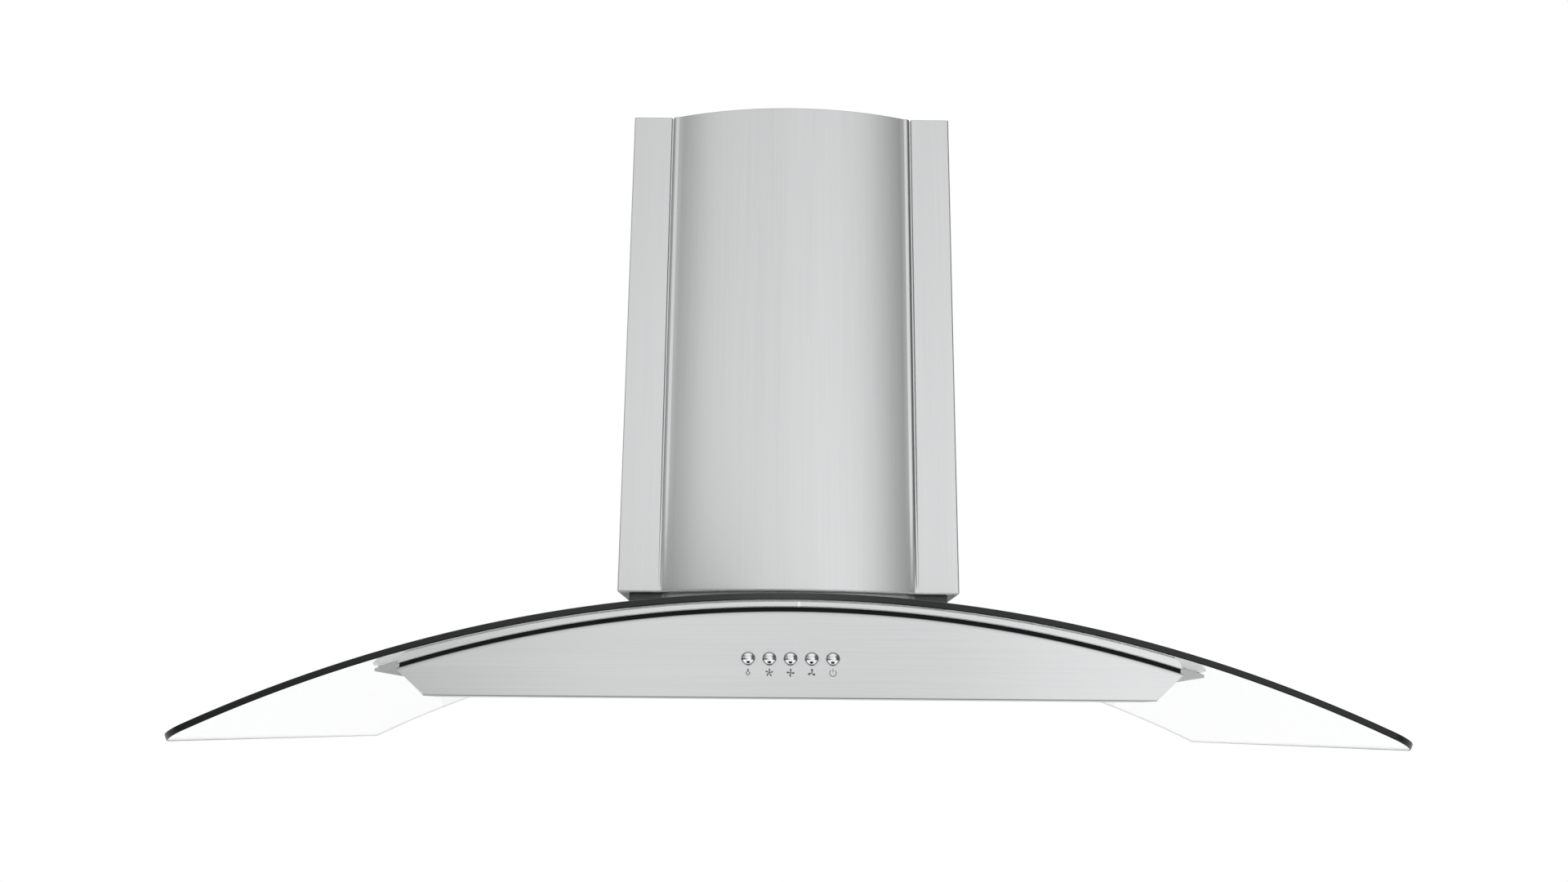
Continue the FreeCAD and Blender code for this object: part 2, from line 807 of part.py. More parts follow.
def outlet_top():
    """The volute's outlet meets the underside of the blower box's top."""
    return box_rise - box_sheet


def volute_half(side):
    """One moulded half of the scroll, with a round inlet in its side."""
    outer = volute_face(0, outlet_top()).extrude(Vector(volute_half_width, 0, 0))
    inner_width = volute_half_width - volute_sheet
    inner = volute_face(volute_sheet, outlet_top() + margin).extrude(Vector(inner_width, 0, 0))
    inlet = rod(inlet_radius, 0, blower_y, blower_z, X, volute_half_width + margin)
    half = outer.cut(inner).cut(inlet)
    if side > 0:
        return half
    half = mirrored(half)
    for screw in motor_fixings()[1]:
        half = half.cut(screw)
    return half


def impeller():
    """A double-inlet squirrel cage: a disc with blades on both sides and end rings."""
    width = impeller_half_width
    disc = rod(impeller_radius, 0, blower_y, blower_z, X, disc_thickness)
    hub = rod(hub_radius, hub_left, blower_y, blower_z, X, hub_length)
    parts = [disc, hub]
    for x in (-width, width - impeller_ring):
        bore = impeller_radius - impeller_ring_width
        parts.append(tube(impeller_radius, bore, x, blower_y, blower_z, X, impeller_ring))
    blade_length = blade_depth / math.cos(math.radians(blade_pitch))
    for index in range(blade_count):
        blade = block(-width, width, -blade_length, 0, -blade_thickness / 2, blade_thickness / 2)
        blade.rotate(Vector(0, 0, 0), X, blade_pitch)
        blade.translate(Vector(0, impeller_radius - blade_thickness, 0))
        blade.rotate(Vector(0, 0, 0), X, index * 360.0 / blade_count)
        blade.translate(Vector(0, blower_y, blower_z))
        parts.append(blade)
    wheel = joined(parts)
    wheel = wheel.common(rod(impeller_radius, -width, blower_y, blower_z, X, 2 * width))
    return wheel.cut(rod(shaft_radius, -big, blower_y, blower_z, X, 2 * big))


def motor_left():
    """x of the motor's outer end, outside the left inlet."""
    return -volute_half_width - motor_overhang


def bearing_starts():
    left = motor_left()
    return left + bearing_recess, left + motor_length - bearing_width - bearing_recess


def motor_body():
    """A round motor with a bore and a bearing seat at each end."""
    left = motor_left()
    body = rod(motor_radius, left, blower_y, blower_z, X, motor_length)
    body = body.makeFillet(motor_edge_radius, [body.Edges[0]])
    start = left - margin
    bore = rod(shaft_radius + motor_bore_gap, start, blower_y, blower_z, X, motor_length + 2 * margin)
    left_x, right_x = bearing_starts()
    left_seat = rod(bearing_radius, start, blower_y, blower_z, X, left_x + bearing_width - start)
    seat_length = bearing_width + bearing_recess + margin
    right_seat = rod(bearing_radius, right_x, blower_y, blower_z, X, seat_length)
    return body.cut(bore).cut(left_seat).cut(right_seat)


def motor_bearings():
    bore = shaft_radius + shaft_clearance
    return [tube(bearing_radius, bore, x, blower_y, blower_z, X, bearing_width) for x in bearing_starts()]


def motor_shaft():
    start = bearing_starts()[0]
    end = hub_left + hub_length + shaft_overhang
    return rod(shaft_radius, start, blower_y, blower_z, X, end - start)


def motor_fixings():
    """A three-armed bracket on rubber bushes, and its screws."""
    outside = motor_left()
    plate = tube(motor_radius - motor_edge_radius, arm_hub_radius, outside - arm_thickness,
                 blower_y, blower_z, X, arm_thickness)
    arms, bushes, screws = [plate], [], []
    reach = bush_circle + bush_radius
    for index in range(arm_count):
        arm = block(outside - arm_thickness, outside, -arm_width / 2, arm_width / 2,
                    motor_radius - 2 * motor_edge_radius, reach)
        x = outside - arm_thickness
        bush = rod(bush_radius, outside, 0, bush_circle, X, motor_overhang)
        hole = rod(motor_screw_radius + screw_clearance, x - margin, 0, bush_circle, X, through)
        shank_length = arm_thickness + motor_overhang + volute_sheet
        shank = rod(motor_screw_radius, x, 0, bush_circle, X, shank_length)
        head = rod(motor_screw_head, x - screw_head_height, 0, bush_circle, X, screw_head_height)
        for group, shape in ((arms, arm), (bushes, bush.cut(hole)), (screws, joined([shank, head]))):
            shape.rotate(Vector(0, 0, 0), X, index * 360.0 / arm_count)
            shape.translate(Vector(0, blower_y, blower_z))
            group.append(shape)
    bracket = joined(arms)
    for screw in screws:
        bracket = bracket.cut(screw)
    return bracket, screws, bushes


# --- Outlet spigot and flaps ---
def outlet_spigot():
    """The round collar for the duct, with a ledge under the flaps and holes for their pin."""
    bore = spigot_radius - spigot_wall
    wall = tube(spigot_radius, bore, 0, spigot_y, box_rise, Z, spigot_height)
    flange = tube(spigot_flange, bore, 0, spigot_y, box_rise, Z, spigot_flange_thickness)
    ledge_top = flap_pin_z - flap_thickness / 2 - stop_gap
    ledge = tube(bore + overlap, bore - flap_ledge, 0, spigot_y, ledge_top - flap_ledge_thickness, Z,
                 flap_ledge_thickness)
    body = joined([wall, flange, ledge])
    return body.cut(flap_pin_bar(flap_pin_radius))


def flap_pin_bar(radius):
    """A bar across the spigot on the flaps' axis."""
    reach = spigot_radius - spigot_wall / 2
    return rod(radius, 0, spigot_y - reach, flap_pin_z, Y, 2 * reach)


def flap(side):
    """One half-round flap with two knuckles on the pin. side is -1 for the left one."""
    bottom = flap_pin_z - flap_thickness / 2
    disc = rod(spigot_radius - spigot_wall - flap_gap, 0, spigot_y, bottom, Z, flap_thickness)
    edge = knuckle_radius + knuckle_gap
    low, high = sorted((side * edge, side * big))
    plate = disc.common(block(low, high, -big, big, bottom - margin, bottom + flap_thickness + margin))
    parts = [plate]
    first = side / 2 - 1
    for step in (first, first + 2):
        y0 = spigot_y + step * knuckle_pitch - knuckle_length / 2
        parts.append(rod(knuckle_radius, 0, y0, flap_pin_z, Y, knuckle_length))
        low, high = sorted((0, side * (edge + overlap)))
        parts.append(block(low, high, y0, y0 + knuckle_length, bottom, bottom + flap_thickness))
    return joined(parts).cut(flap_pin_bar(flap_pin_radius + flap_pin_clearance))


# --- Grease filters ---
def filter_pivot_place():
    """y and z of the axis that the filters swing on."""
    rear = filter_opening(filter_clearance)[3]
    return rear - pivot_inset, floor_z + filter_height / 2


def latch_places():
    """x of the latch's middle, and y of the pocket's front and rear walls."""
    x0, x1, y0, _ = filter_opening(filter_clearance)
    pocket_front = y0 + latch_wall
    pocket_rear = pocket_front + latch_gap + latch_length + latch_travel + latch_spring_room
    return (x0 + x1) / 2, pocket_front, pocket_rear


def filter_frame():
    """The left filter's aluminium frame with its pivots and its latch pocket."""
    x0, x1, y0, y1 = filter_opening(filter_clearance)
    z0, z1 = floor_z, floor_z + filter_height
    frame = block(x0, x1, y0, y1, z0, z1)
    window_front = y0 + filter_front_rim
    frame = frame.cut(block(x0 + filter_rim, x1 - filter_rim, window_front, y1 - filter_rim,
                            z0 - margin, z1 + margin))
    y, z = filter_pivot_place()
    reach = filter_clearance + pivot_side_gap + pivot_ear
    pins = [rod(pivot_radius, start, y, z, X, reach + overlap) for start in (x0 - reach, x1 - overlap)]
    frame = joined([frame] + pins)
    middle, front, rear = latch_places()
    half = latch_half_width + latch_pocket_side
    frame = frame.cut(block(middle - half, middle + half, front, rear, z0 - margin, z1 - latch_roof))
    low = floor_z + pan_sheet
    tongue = latch_tongue_half_width + latch_gap
    slot_top = low + latch_tongue_height + 2 * latch_gap
    slot = block(middle - tongue, middle + tongue, y0 - margin, front + margin, z0 - margin, slot_top)
    guide_radius = latch_rod_radius + latch_rod_clearance
    guide_length = window_front - rear + 2 * margin
    guide = rod(guide_radius, middle, rear - margin, latch_rod_z(), Y, guide_length)
    return frame.cut(slot).cut(guide)


def latch_rod_z():
    """Height of the latch's guide rod: the middle of the latch."""
    return (floor_z + filter_height - latch_roof + floor_z) / 2


def filter_mesh():
    """Two thin perforated sheets in the left frame."""
    x0, x1, y0, y1 = filter_opening(filter_clearance)
    x0, x1 = x0 + filter_rim, x1 - filter_rim
    y0, y1 = y0 + filter_front_rim, y1 - filter_rim
    column = (x1 - x0 - mesh_bridge) / mesh_columns
    row = (y1 - y0 - mesh_bridge) / mesh_rows
    sheets = []
    for z in (floor_z + mesh_gap, floor_z + filter_height - mesh_gap - mesh_sheet):
        slots = []
        for i in range(mesh_columns):
            for j in range(mesh_rows):
                x = x0 + mesh_bridge + i * column
                y = y0 + mesh_bridge + j * row
                slots.append(block(x, x + column - mesh_bridge, y, y + row - mesh_bridge,
                                   z - margin, z + mesh_sheet + margin))
        sheets.append(block(x0, x1, y0, y1, z, z + mesh_sheet).cut(Part.makeCompound(slots)))
    return sheets


def filter_pivots():
    """Four ears on the floor that hold the filters' pivots."""
    x0, x1, _, _ = filter_opening(filter_clearance)
    y, z = filter_pivot_place()
    ears = []
    bottom = floor_z + pan_sheet
    side = filter_clearance + pivot_side_gap
    for start in (x0 - side - pivot_ear, x1 + side):
        ear = block(start, start + pivot_ear, y - pivot_ear_height / 2, y + pivot_ear_height / 2,
                    bottom, bottom + pivot_ear_height)
        bore = rod(pivot_radius + pivot_clearance, start - margin, y, z, X, pivot_ear + 2 * margin)
        ear = ear.cut(bore)
        ears += [ear, mirrored(ear)]
    return ears


def latch():
    """The left filter's sliding latch: a grip, a tongue over the floor and a guide rod."""
    middle, front, rear = latch_places()
    z0, z1 = floor_z + latch_gap, floor_z + filter_height - latch_roof - latch_gap
    y0 = front + latch_gap
    y1 = y0 + latch_length
    grip = block(middle - latch_half_width, middle + latch_half_width, y0, y1, z0, z1)
    for index in range(grip_groove_count):
        start = y0 + grip_groove_start + index * grip_groove_pitch
        groove = block(middle - grip_groove_half, middle + grip_groove_half, start,
                       start + grip_groove_width, z0 - margin, z0 + grip_groove_depth)
        grip = grip.cut(groove)
    low = floor_z + pan_sheet + latch_gap
    tongue = block(middle - latch_tongue_half_width, middle + latch_tongue_half_width,
                   front - latch_wall - latch_tongue_reach, y0 + overlap, low, low + latch_tongue_height)
    guide_end = rear + latch_rod_end
    guide = rod(latch_rod_radius, middle, y1 - overlap, latch_rod_z(), Y, guide_end - y1 + overlap)
    return joined([grip, tongue, guide])


def latch_spring():
    """A small coil between the latch and the rear wall of its pocket."""
    middle, front, rear = latch_places()
    end_gap = latch_spring_wire + latch_spring_gap
    start = front + latch_gap + latch_length + end_gap
    length = rear - end_gap - start
    helix = Part.makeHelix(length / latch_spring_turns, length, latch_spring_radius)
    ring = Part.Circle(Vector(latch_spring_radius, 0, 0), Y, latch_spring_wire).toShape()
    coil = Part.Wire(helix.Edges).makePipeShell([Part.Wire([ring])], True, True)
    coil.rotate(Vector(0, 0, 0), X, -90)
    coil.translate(Vector(middle, start, latch_rod_z()))
    return coil


# --- Lamps ---
def lamp_parts():
    """Bezel, lens and lamp of the left light."""
    y = front_edge + lamp_setback
    outer = lamp_hole_radius - lamp_fit
    inner = outer - lamp_tube_wall
    bottom = floor_z - lamp_flange_thickness
    flange = rod(lamp_flange, -lamp_x, y, bottom, Z, lamp_flange_thickness)
    flange = flange.makeFillet(lamp_flange_round, [flange.Edges[2]])
    barrel = rod(outer, -lamp_x, y, bottom, Z, lamp_flange_thickness + lamp_tube_height)
    hole = rod(inner - lamp_ledge, -lamp_x, y, bottom - margin, Z, through)
    room = rod(inner, -lamp_x, y, floor_z, Z, through)
    bezel = joined([flange, barrel]).cut(hole).cut(room)
    lens = rod(inner - lens_fit, -lamp_x, y, floor_z, Z, lens_thickness)
    base = floor_z + lens_thickness
    body = rod(lamp_body_radius, -lamp_x, y, base, Z, lamp_body_height)
    fins = [body]
    for index in range(lamp_fin_count):
        fin = block(-lamp_fin_thickness / 2, lamp_fin_thickness / 2, lamp_body_radius - overlap,
                    lamp_body_radius + lamp_fin_length, base, base + lamp_body_height)
        fin.rotate(Vector(0, 0, 0), Z, index * 360.0 / lamp_fin_count)
        fin.translate(Vector(-lamp_x, y, 0))
        fins.append(fin)
    return bezel, lens, joined(fins)


# --- Push buttons and what they press ---
def button_xs():
    middle = (len(button_names) - 1) / 2
    return [(index - middle) * button_pitch for index in range(len(button_names))]


def button(x):
    """A domed cap with a stem behind it."""
    front = fascia_front - button_proud
    cap = rod(button_radius, x, front, button_z, Y, button_length)
    rim = [e for e in cap.Edges if abs(e.CenterOfMass.y - front) < near]
    cap = cap.makeFillet(button_dome, rim)
    start = front + button_length - overlap
    stem = rod(button_stem_radius, x, start, button_z, Y, button_stem_length + overlap)
    return joined([cap, stem])


def button_rings():
    bore = button_radius + button_clearance
    y = fascia_front - button_ring_proud
    return [tube(bore + button_ring_width, bore, x, y, button_z, Y, button_ring_proud) for x in button_xs()]


def housing_half():
    return (len(button_names) - 1) / 2 * button_pitch + housing_side


def switch_housing():
    """The block behind the fascia that guides the buttons."""
    front = fascia_front + fascia_sheet
    rear = front + housing_depth
    half = housing_half()
    low, high = button_z - housing_half_height, button_z + housing_half_height
    body = block(-half, half, front, rear, low, high)
    cap_end = fascia_front - button_proud + button_length + button_travel + stop_gap
    pocket = switch_size / 2 + switch_pocket_clearance
    for x in button_xs():
        bore_start = front - margin
        bore = rod(button_radius + button_clearance, x, bore_start, button_z, Y, cap_end - bore_start)
        stem = rod(button_stem_radius + stem_clearance, x, front, button_z, Y, housing_depth)
        room = block(x - pocket, x + pocket, switch_face() - margin, rear + margin,
                     button_z - pocket, button_z + pocket)
        body = body.cut(bore).cut(stem).cut(room)
    return body


def switch_face():
    """y of the small switches' front faces, just past the stems' furthest travel."""
    return fascia_front - button_proud + button_length + button_stem_length + button_travel + stop_gap


def switch_board():
    """A circuit board with one small switch behind each button."""
    rear = fascia_front + fascia_sheet + housing_depth
    half = housing_half() - board_inset
    height = housing_half_height - board_inset
    parts = [block(-half, half, rear, rear + board_thickness, button_z - height, button_z + height)]
    for x in button_xs():
        parts.append(block(x - switch_size / 2, x + switch_size / 2, switch_face(), rear + overlap,
                           button_z - switch_size / 2, button_z + switch_size / 2))
    return joined(parts)


# --- Electrical parts in the blower box ---
def junction_parts():
    """The terminal box on the right wall, and its lid."""
    width, depth, height = junction_size
    x1 = box_half_width - box_sheet
    x0 = x1 - width
    y0, y1 = junction_front_y, junction_front_y + depth
    z0, z1 = junction_bottom_z, junction_bottom_z + height
    wall = junction_wall
    case = block(x0 + junction_lid_thickness, x1, y0, y1, z0, z1)
    case = case.cut(block(x0 - margin, x1 - wall, y0 + wall, y1 - wall, z0 + wall, z1 - wall))
    lid = block(x0, x0 + junction_lid_thickness, y0, y1, z0, z1)
    return case, lid


def capacitor():
    x = -box_half_width + box_sheet + capacitor_radius
    can = rod(capacitor_radius, x, capacitor_y, capacitor_z, Z, capacitor_height)
    return can.makeFillet(capacitor_edge, can.Edges[:1])


def cable_gland():
    """The cable entry in the top of the blower box, with a nut on each side."""
    bottom = box_rise - box_sheet - gland_below
    length = gland_below + box_sheet + gland_above
    parts = [rod(gland_radius, gland_x, gland_y, bottom, Z, length)]
    for z in (box_rise, box_rise - box_sheet - gland_nut_height):
        points = []
        for corner in range(6):
            turn = math.radians(60 * corner)
            points.append(Vector(gland_x + gland_nut_radius * math.cos(turn),
                                 gland_y + gland_nut_radius * math.sin(turn), z))
        parts.append(prism(points, Vector(0, 0, gland_nut_height)))
    return joined(parts).cut(rod(gland_bore, gland_x, gland_y, bottom - margin, Z, length + 2 * margin))


# --- One file for each piece ---
def export_glass_and_front():
    export("glass_canopy", glass_canopy())
    export("glass_gasket", *glass_gasket())
    bolts, washers, nuts = glass_fixings()
    export("glass_bolts", *bolts)
    export("glass_washers", *washers)
    export("glass_nuts", *nuts)
    export("glass_rail", glass_rail())
    export("seam_seal", seam_seal())
    export("fascia_panel", fascia_panel())
    clips, screws = fascia_fixings()
    export("fascia_clips", *clips)
    export("fascia_screws", *screws)


def export_body_and_chimney():
    export("body_pan", body_pan())
    export("body_top", body_top())
    export("blower_box", blower_box())
    export("chimney_lower", chimney_lower())
    export("chimney_upper", chimney_upper())
    export("chimney_bracket", chimney_bracket())
    export("chimney_collar", chimney_collar())
    clips, screws = chimney_fixings()
    export("chimney_clips", *clips)
    export("chimney_screws", *screws)


def export_blower_and_outlet():
    export("volute_left", volute_half(-1))
    export("volute_right", volute_half(1))
    export("impeller", impeller())
    export("motor_body", motor_body())
    export("motor_bearings", *motor_bearings())
    export("motor_shaft", motor_shaft())
    bracket, screws, bushes = motor_fixings()
    export("motor_bracket", bracket)
    export("motor_screws", *screws)
    export("motor_bushes", *bushes)
    export("outlet_spigot", outlet_spigot())
    export("flap_pin", flap_pin_bar(flap_pin_radius))
    export("flap_left", flap(-1))
    export("flap_right", flap(1))


def export_filters_and_lamps():
    pieces = {
        "filter_frame": [filter_frame()],
        "filter_mesh": filter_mesh(),
        "latch": [latch()],
        "latch_spring": [latch_spring()],
    }
    for name, piece in zip(("lamp_bezel", "lamp_lens", "lamp_body"), lamp_parts()):
        pieces[name] = [piece]
    for name, solids in pieces.items():
        export(name + "_left", *solids)
        export(name + "_right", *[mirrored(solid) for solid in solids])
    export("filter_pivots", *filter_pivots())


def export_controls_and_wiring():
    for name, x in zip(button_names, button_xs()):
        export("button_" + name, button(x))
    export("button_rings", *button_rings())
    export("switch_housing", switch_housing())
    export("switch_board", switch_board())
    case, lid = junction_parts()
    export("junction_box", case)
    export("junction_lid", lid)
    export("capacitor", capacitor())
    export("cable_gland", cable_gland())


os.makedirs("parts", exist_ok=True)
export_glass_and_front()
export_body_and_chimney()
export_blower_and_outlet()
export_filters_and_lamps()
export_controls_and_wiring()
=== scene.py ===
# %% [markdown]
# # A curved glass range hood, dressed for its picture
# The hood is a steel body under a bent sheet of glass, with a two-piece chimney above it
# and a blower behind. The engineering model gives every solid its place. This lesson
# loads it as a fixed frame, then gives each visible piece the finish and the small
# shapes that light needs: rolled edges, joints, domes, brushed grain and woven mesh.

# %% Load the frame
import bpy
import bmesh
import math
from mathutils import Matrix, Vector
from mathutils.geometry import delaunay_2d_cdt


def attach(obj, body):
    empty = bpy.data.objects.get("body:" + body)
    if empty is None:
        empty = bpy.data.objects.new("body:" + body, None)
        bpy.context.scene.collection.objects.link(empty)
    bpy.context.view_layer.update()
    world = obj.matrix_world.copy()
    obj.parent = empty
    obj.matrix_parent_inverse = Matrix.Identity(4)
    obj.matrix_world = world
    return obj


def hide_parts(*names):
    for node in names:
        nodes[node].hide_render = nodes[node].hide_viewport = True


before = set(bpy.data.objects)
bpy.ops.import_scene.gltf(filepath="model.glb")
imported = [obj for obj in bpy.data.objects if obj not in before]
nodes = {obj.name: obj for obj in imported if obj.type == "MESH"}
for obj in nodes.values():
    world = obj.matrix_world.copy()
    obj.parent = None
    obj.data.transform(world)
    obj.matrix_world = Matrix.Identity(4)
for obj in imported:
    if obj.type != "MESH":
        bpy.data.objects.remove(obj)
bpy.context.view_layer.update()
mm = 0.001
print("solids in the frame:", len(nodes))

# %% [markdown]
# The camera comes first, because everything is judged through it. The picture was taken
# from about 0.9 m in front of the glass, level with the underside of the hood and tilted
# up by 13 degrees, which is why the chimney narrows towards its top.

# %% Camera
camera_place = Vector((-9.8, -1408.1, -264.0)) * mm
camera_pitch = math.radians(12.855)
camera_yaw = math.radians(0.242)
camera_roll = math.radians(0.448)
camera_lens = 28.574


def camera_matrix(place, pitch, yaw, roll):
    """A camera that looks along +Y, tilted up, turned to the right and rolled."""
    right = Vector((math.cos(yaw), -math.sin(yaw), 0))
    ahead = Vector((math.sin(yaw) * math.cos(pitch), math.cos(yaw) * math.cos(pitch), math.sin(pitch)))
    up = right.cross(ahead)
    rolled_right = right * math.cos(roll) + up * math.sin(roll)
    rolled_up = up * math.cos(roll) - right * math.sin(roll)
    turn = Matrix((rolled_right, rolled_up, -ahead)).transposed().to_4x4()
    return Matrix.Translation(place) @ turn


camera_data = bpy.data.cameras.new("camera")
camera_data.lens = camera_lens
camera_data.sensor_width = 36.0
camera_data.clip_start = 0.01
camera = bpy.data.objects.new("camera", camera_data)
camera.matrix_world = camera_matrix(camera_place, camera_pitch, camera_yaw, camera_roll)
bpy.context.scene.collection.objects.link(camera)
bpy.context.scene.camera = camera
print("camera stands at", [round(c, 3) for c in camera_place])

# %% [markdown]
# Finishes and the world are drawn with shader nodes. Small helpers keep their wiring
# readable: one adds a node, and the others are the kinds that come back most often.

# %% Helpers for shader nodes
COLOUR_A, COLOUR_B, COLOUR_OUT = 6, 7, 2


def feed(node, inputs):
    """Inputs of a node, by name: a socket is linked, a value is set."""
    for name, value in inputs.items():
        if isinstance(value, bpy.types.NodeSocket):
            node.id_data.links.new(value, node.inputs[name])
        else:
            node.inputs[name].default_value = value


def add(tree, kind, inputs=None, **settings):
    """A node, with its settings and its inputs."""
    node = tree.nodes.new(kind)
    for name, value in settings.items():
        setattr(node, name, value)
    feed(node, inputs or {})
    return node


def math_node(tree, operation, a, b=0.0):
    """One arithmetic step between two values or sockets."""
    return add(tree, "ShaderNodeMath", {0: a, 1: b}, operation=operation).outputs[0]


def grey(level):
    """A grey as a colour with full cover."""
    return (level, level, level, 1.0)


def ramp(tree, factor, stops):
    """A ramp from a list of (place, grey or colour) stops."""
    node = add(tree, "ShaderNodeValToRGB", {"Fac": factor})
    while len(node.color_ramp.elements) < len(stops):
        node.color_ramp.elements.new(0.5)
    for element, (place, colour) in zip(node.color_ramp.elements, stops):
        element.position = place
        element.color = grey(colour) if isinstance(colour, (int, float)) else (*colour, 1.0)
    return node.outputs["Color"]


def mix(tree, factor, a, b, blend="MIX"):
    """Two colours mixed, or multiplied, by a factor."""
    inputs = {"Factor": factor, COLOUR_A: a, COLOUR_B: b}
    return add(tree, "ShaderNodeMix", inputs, data_type="RGBA", blend_type=blend).outputs[COLOUR_OUT]


def object_axes(tree):
    """The place of a point on the object, as its X, Y and Z."""
    place = add(tree, "ShaderNodeTexCoord").outputs["Object"]
    return add(tree, "ShaderNodeSeparateXYZ", {0: place}).outputs


def main_shader(material):
    """The shader that holds a material's colour, gloss and metal."""
    return material.node_tree.nodes["Principled BSDF"]


scene = bpy.context.scene
print("helpers for shader nodes ready")

# %% [markdown]
# Metal shows what stands round it more than its own colour. A product studio is white,
# but its side walls get less light than the wall behind the camera. The world is drawn
# that way: plain white for the camera and for light that passes through glass, and for
# reflections a white room whose brightness changes with the compass direction. One ramp
# holds the band just above the horizon, which the front panel mirrors, and another the
# band higher up, which the chimney mirrors.

# %% World
scene.view_settings.view_transform = "Standard"
world = bpy.data.worlds.new("white_studio")
scene.world = world
world.use_nodes = True


def compass_stops(points):
    """Ramp stops from (degrees to the right of the camera's side, brightness)."""
    return [((degrees + 180.0) / 360.0, level) for degrees, level in points]


low_band = [
    (-180, 0.9), (-115, 0.85), (-88, 0.10), (-52, 0.12), (-24, 0.30), (-16, 0.56), (-9, 0.92),
    (-3, 0.88), (3, 0.78), (8, 0.74), (14, 1.14), (28, 1.08), (46, 0.25), (56, 0.08), (90, 0.10),
    (115, 0.7), (180, 0.9),
]
high_band = [
    (-180, 0.95), (-160, 1.2), (-105, 1.2), (-88, 0.40), (-66, 0.46), (-56, 0.48), (-44, 0.46),
    (-35, 0.94), (-27, 1.0), (-10, 0.94), (-3, 0.98), (7, 1.05), (26, 1.06), (34, 0.95), (46, 0.36),
    (58, 0.12), (86, 0.12), (105, 0.5), (140, 0.6), (180, 0.95),
]
tree = world.node_tree
tree.nodes.clear()
direction = add(tree, "ShaderNodeTexCoord").outputs["Generated"]
axes = add(tree, "ShaderNodeSeparateXYZ", {0: direction}).outputs
compass = math_node(tree, "ARCTAN2", axes["X"], math_node(tree, "MULTIPLY", axes["Y"], -1.0))
turn = math_node(tree, "ADD", math_node(tree, "DIVIDE", compass, 2 * math.pi), 0.5)
height = add(tree, "ShaderNodeMapRange", {"Value": axes["Z"], "From Min": 0.05, "From Max": 0.12})
sky_fade = add(tree, "ShaderNodeMapRange", {
    "Value": axes["Z"], "From Min": 0.1, "From Max": 0.5, "To Min": 1.02, "To Max": 0.84})
overhead = add(tree, "ShaderNodeMapRange", {"Value": axes["Z"], "From Min": 0.58, "From Max": 0.8})
overhead_level, room_level = 0.98, 0.80
low_ramp = ramp(tree, turn, compass_stops(low_band))
high_ramp = ramp(tree, turn, compass_stops(high_band))
mirrored = mix(tree, height.outputs[0], low_ramp, high_ramp)
mirrored = mix(tree, 1.0, mirrored, sky_fade.outputs[0], "MULTIPLY")
mirrored = mix(tree, overhead.outputs[0], mirrored, grey(overhead_level))
rays = add(tree, "ShaderNodeLightPath").outputs
seen = math_node(tree, "MAXIMUM", rays["Is Camera Ray"], rays["Is Transmission Ray"])
shown = mix(tree, rays["Is Glossy Ray"], grey(room_level), mirrored)
sky = add(tree, "ShaderNodeBackground", {"Color": mix(tree, seen, shown, grey(1.0)), "Strength": 1.0})
add(tree, "ShaderNodeOutputWorld", {"Surface": sky.outputs[0]})
print("compass stops:", len(low_band), "low and", len(high_band), "high")

# %% [markdown]
# A hood hangs well above the floor, so the floor lies 1.6 m below it. It is pale and it
# receives the hood's soft shadow. It glows a little for the camera, in reflections and
# through the glass, so that it joins the white background. One large soft lamp stands
# high on the right, and a dark mat lies on the floor below the camera, seen only in
# reflections: it gives polished domes the dark spot they have.

# %% Floor, lamp and mat
floor_height, floor_radius, floor_grey, floor_glow = -1.90, 9.0, 0.86, 0.30
mat_place, mat_radius, mat_grey = (0.0, -2.35, floor_height + 0.01), 1.05, 0.01
lamp_place, lamp_aim, lamp_size, lamp_power = (1.3, -2.2, 2.1), (0.0, -0.25, 0.0), 2.4, 22.0


def disc(name, centre, radius, sides):
    """A flat round plate, filled with a fan of triangles."""
    mesh = bpy.data.meshes.new(name)
    shape = bmesh.new()
    bmesh.ops.create_circle(shape, cap_ends=True, cap_tris=True, radius=radius, segments=sides)
    bmesh.ops.translate(shape, verts=shape.verts, vec=centre)
    shape.to_mesh(mesh)
    shape.free()
    plate = bpy.data.objects.new(name, mesh)
    scene.collection.objects.link(plate)
    return plate


floor = disc("floor", Vector((0, 0, floor_height)), floor_radius, 96)
floor_paint = bpy.data.materials.new("pale_floor")
floor_paint.use_nodes = True
tree = floor_paint.node_tree
tree.nodes.clear()
rays = add(tree, "ShaderNodeLightPath").outputs
looked_at = math_node(tree, "MAXIMUM", rays["Is Camera Ray"], rays["Is Glossy Ray"])
looked_at = math_node(tree, "MAXIMUM", looked_at, rays["Is Transmission Ray"])
matt = add(tree, "ShaderNodeBsdfDiffuse", {"Color": grey(floor_grey)})
glow = add(tree, "ShaderNodeEmission", {
    "Color": grey(1.0), "Strength": math_node(tree, "MULTIPLY", looked_at, floor_glow)})
both = add(tree, "ShaderNodeAddShader", {0: matt.outputs[0], 1: glow.outputs[0]})
add(tree, "ShaderNodeOutputMaterial", {"Surface": both.outputs[0]})
floor.data.materials.append(floor_paint)

mat = disc("dark_mat", Vector(mat_place), mat_radius, 48)
mat.visible_camera = False
mat.visible_diffuse = False
mat.visible_shadow = False
mat.visible_transmission = False
mat_paint = bpy.data.materials.new("dark_mat_felt")
mat_paint.use_nodes = True
feed(main_shader(mat_paint), {"Base Color": grey(mat_grey), "Roughness": 0.9})
mat.data.materials.append(mat_paint)

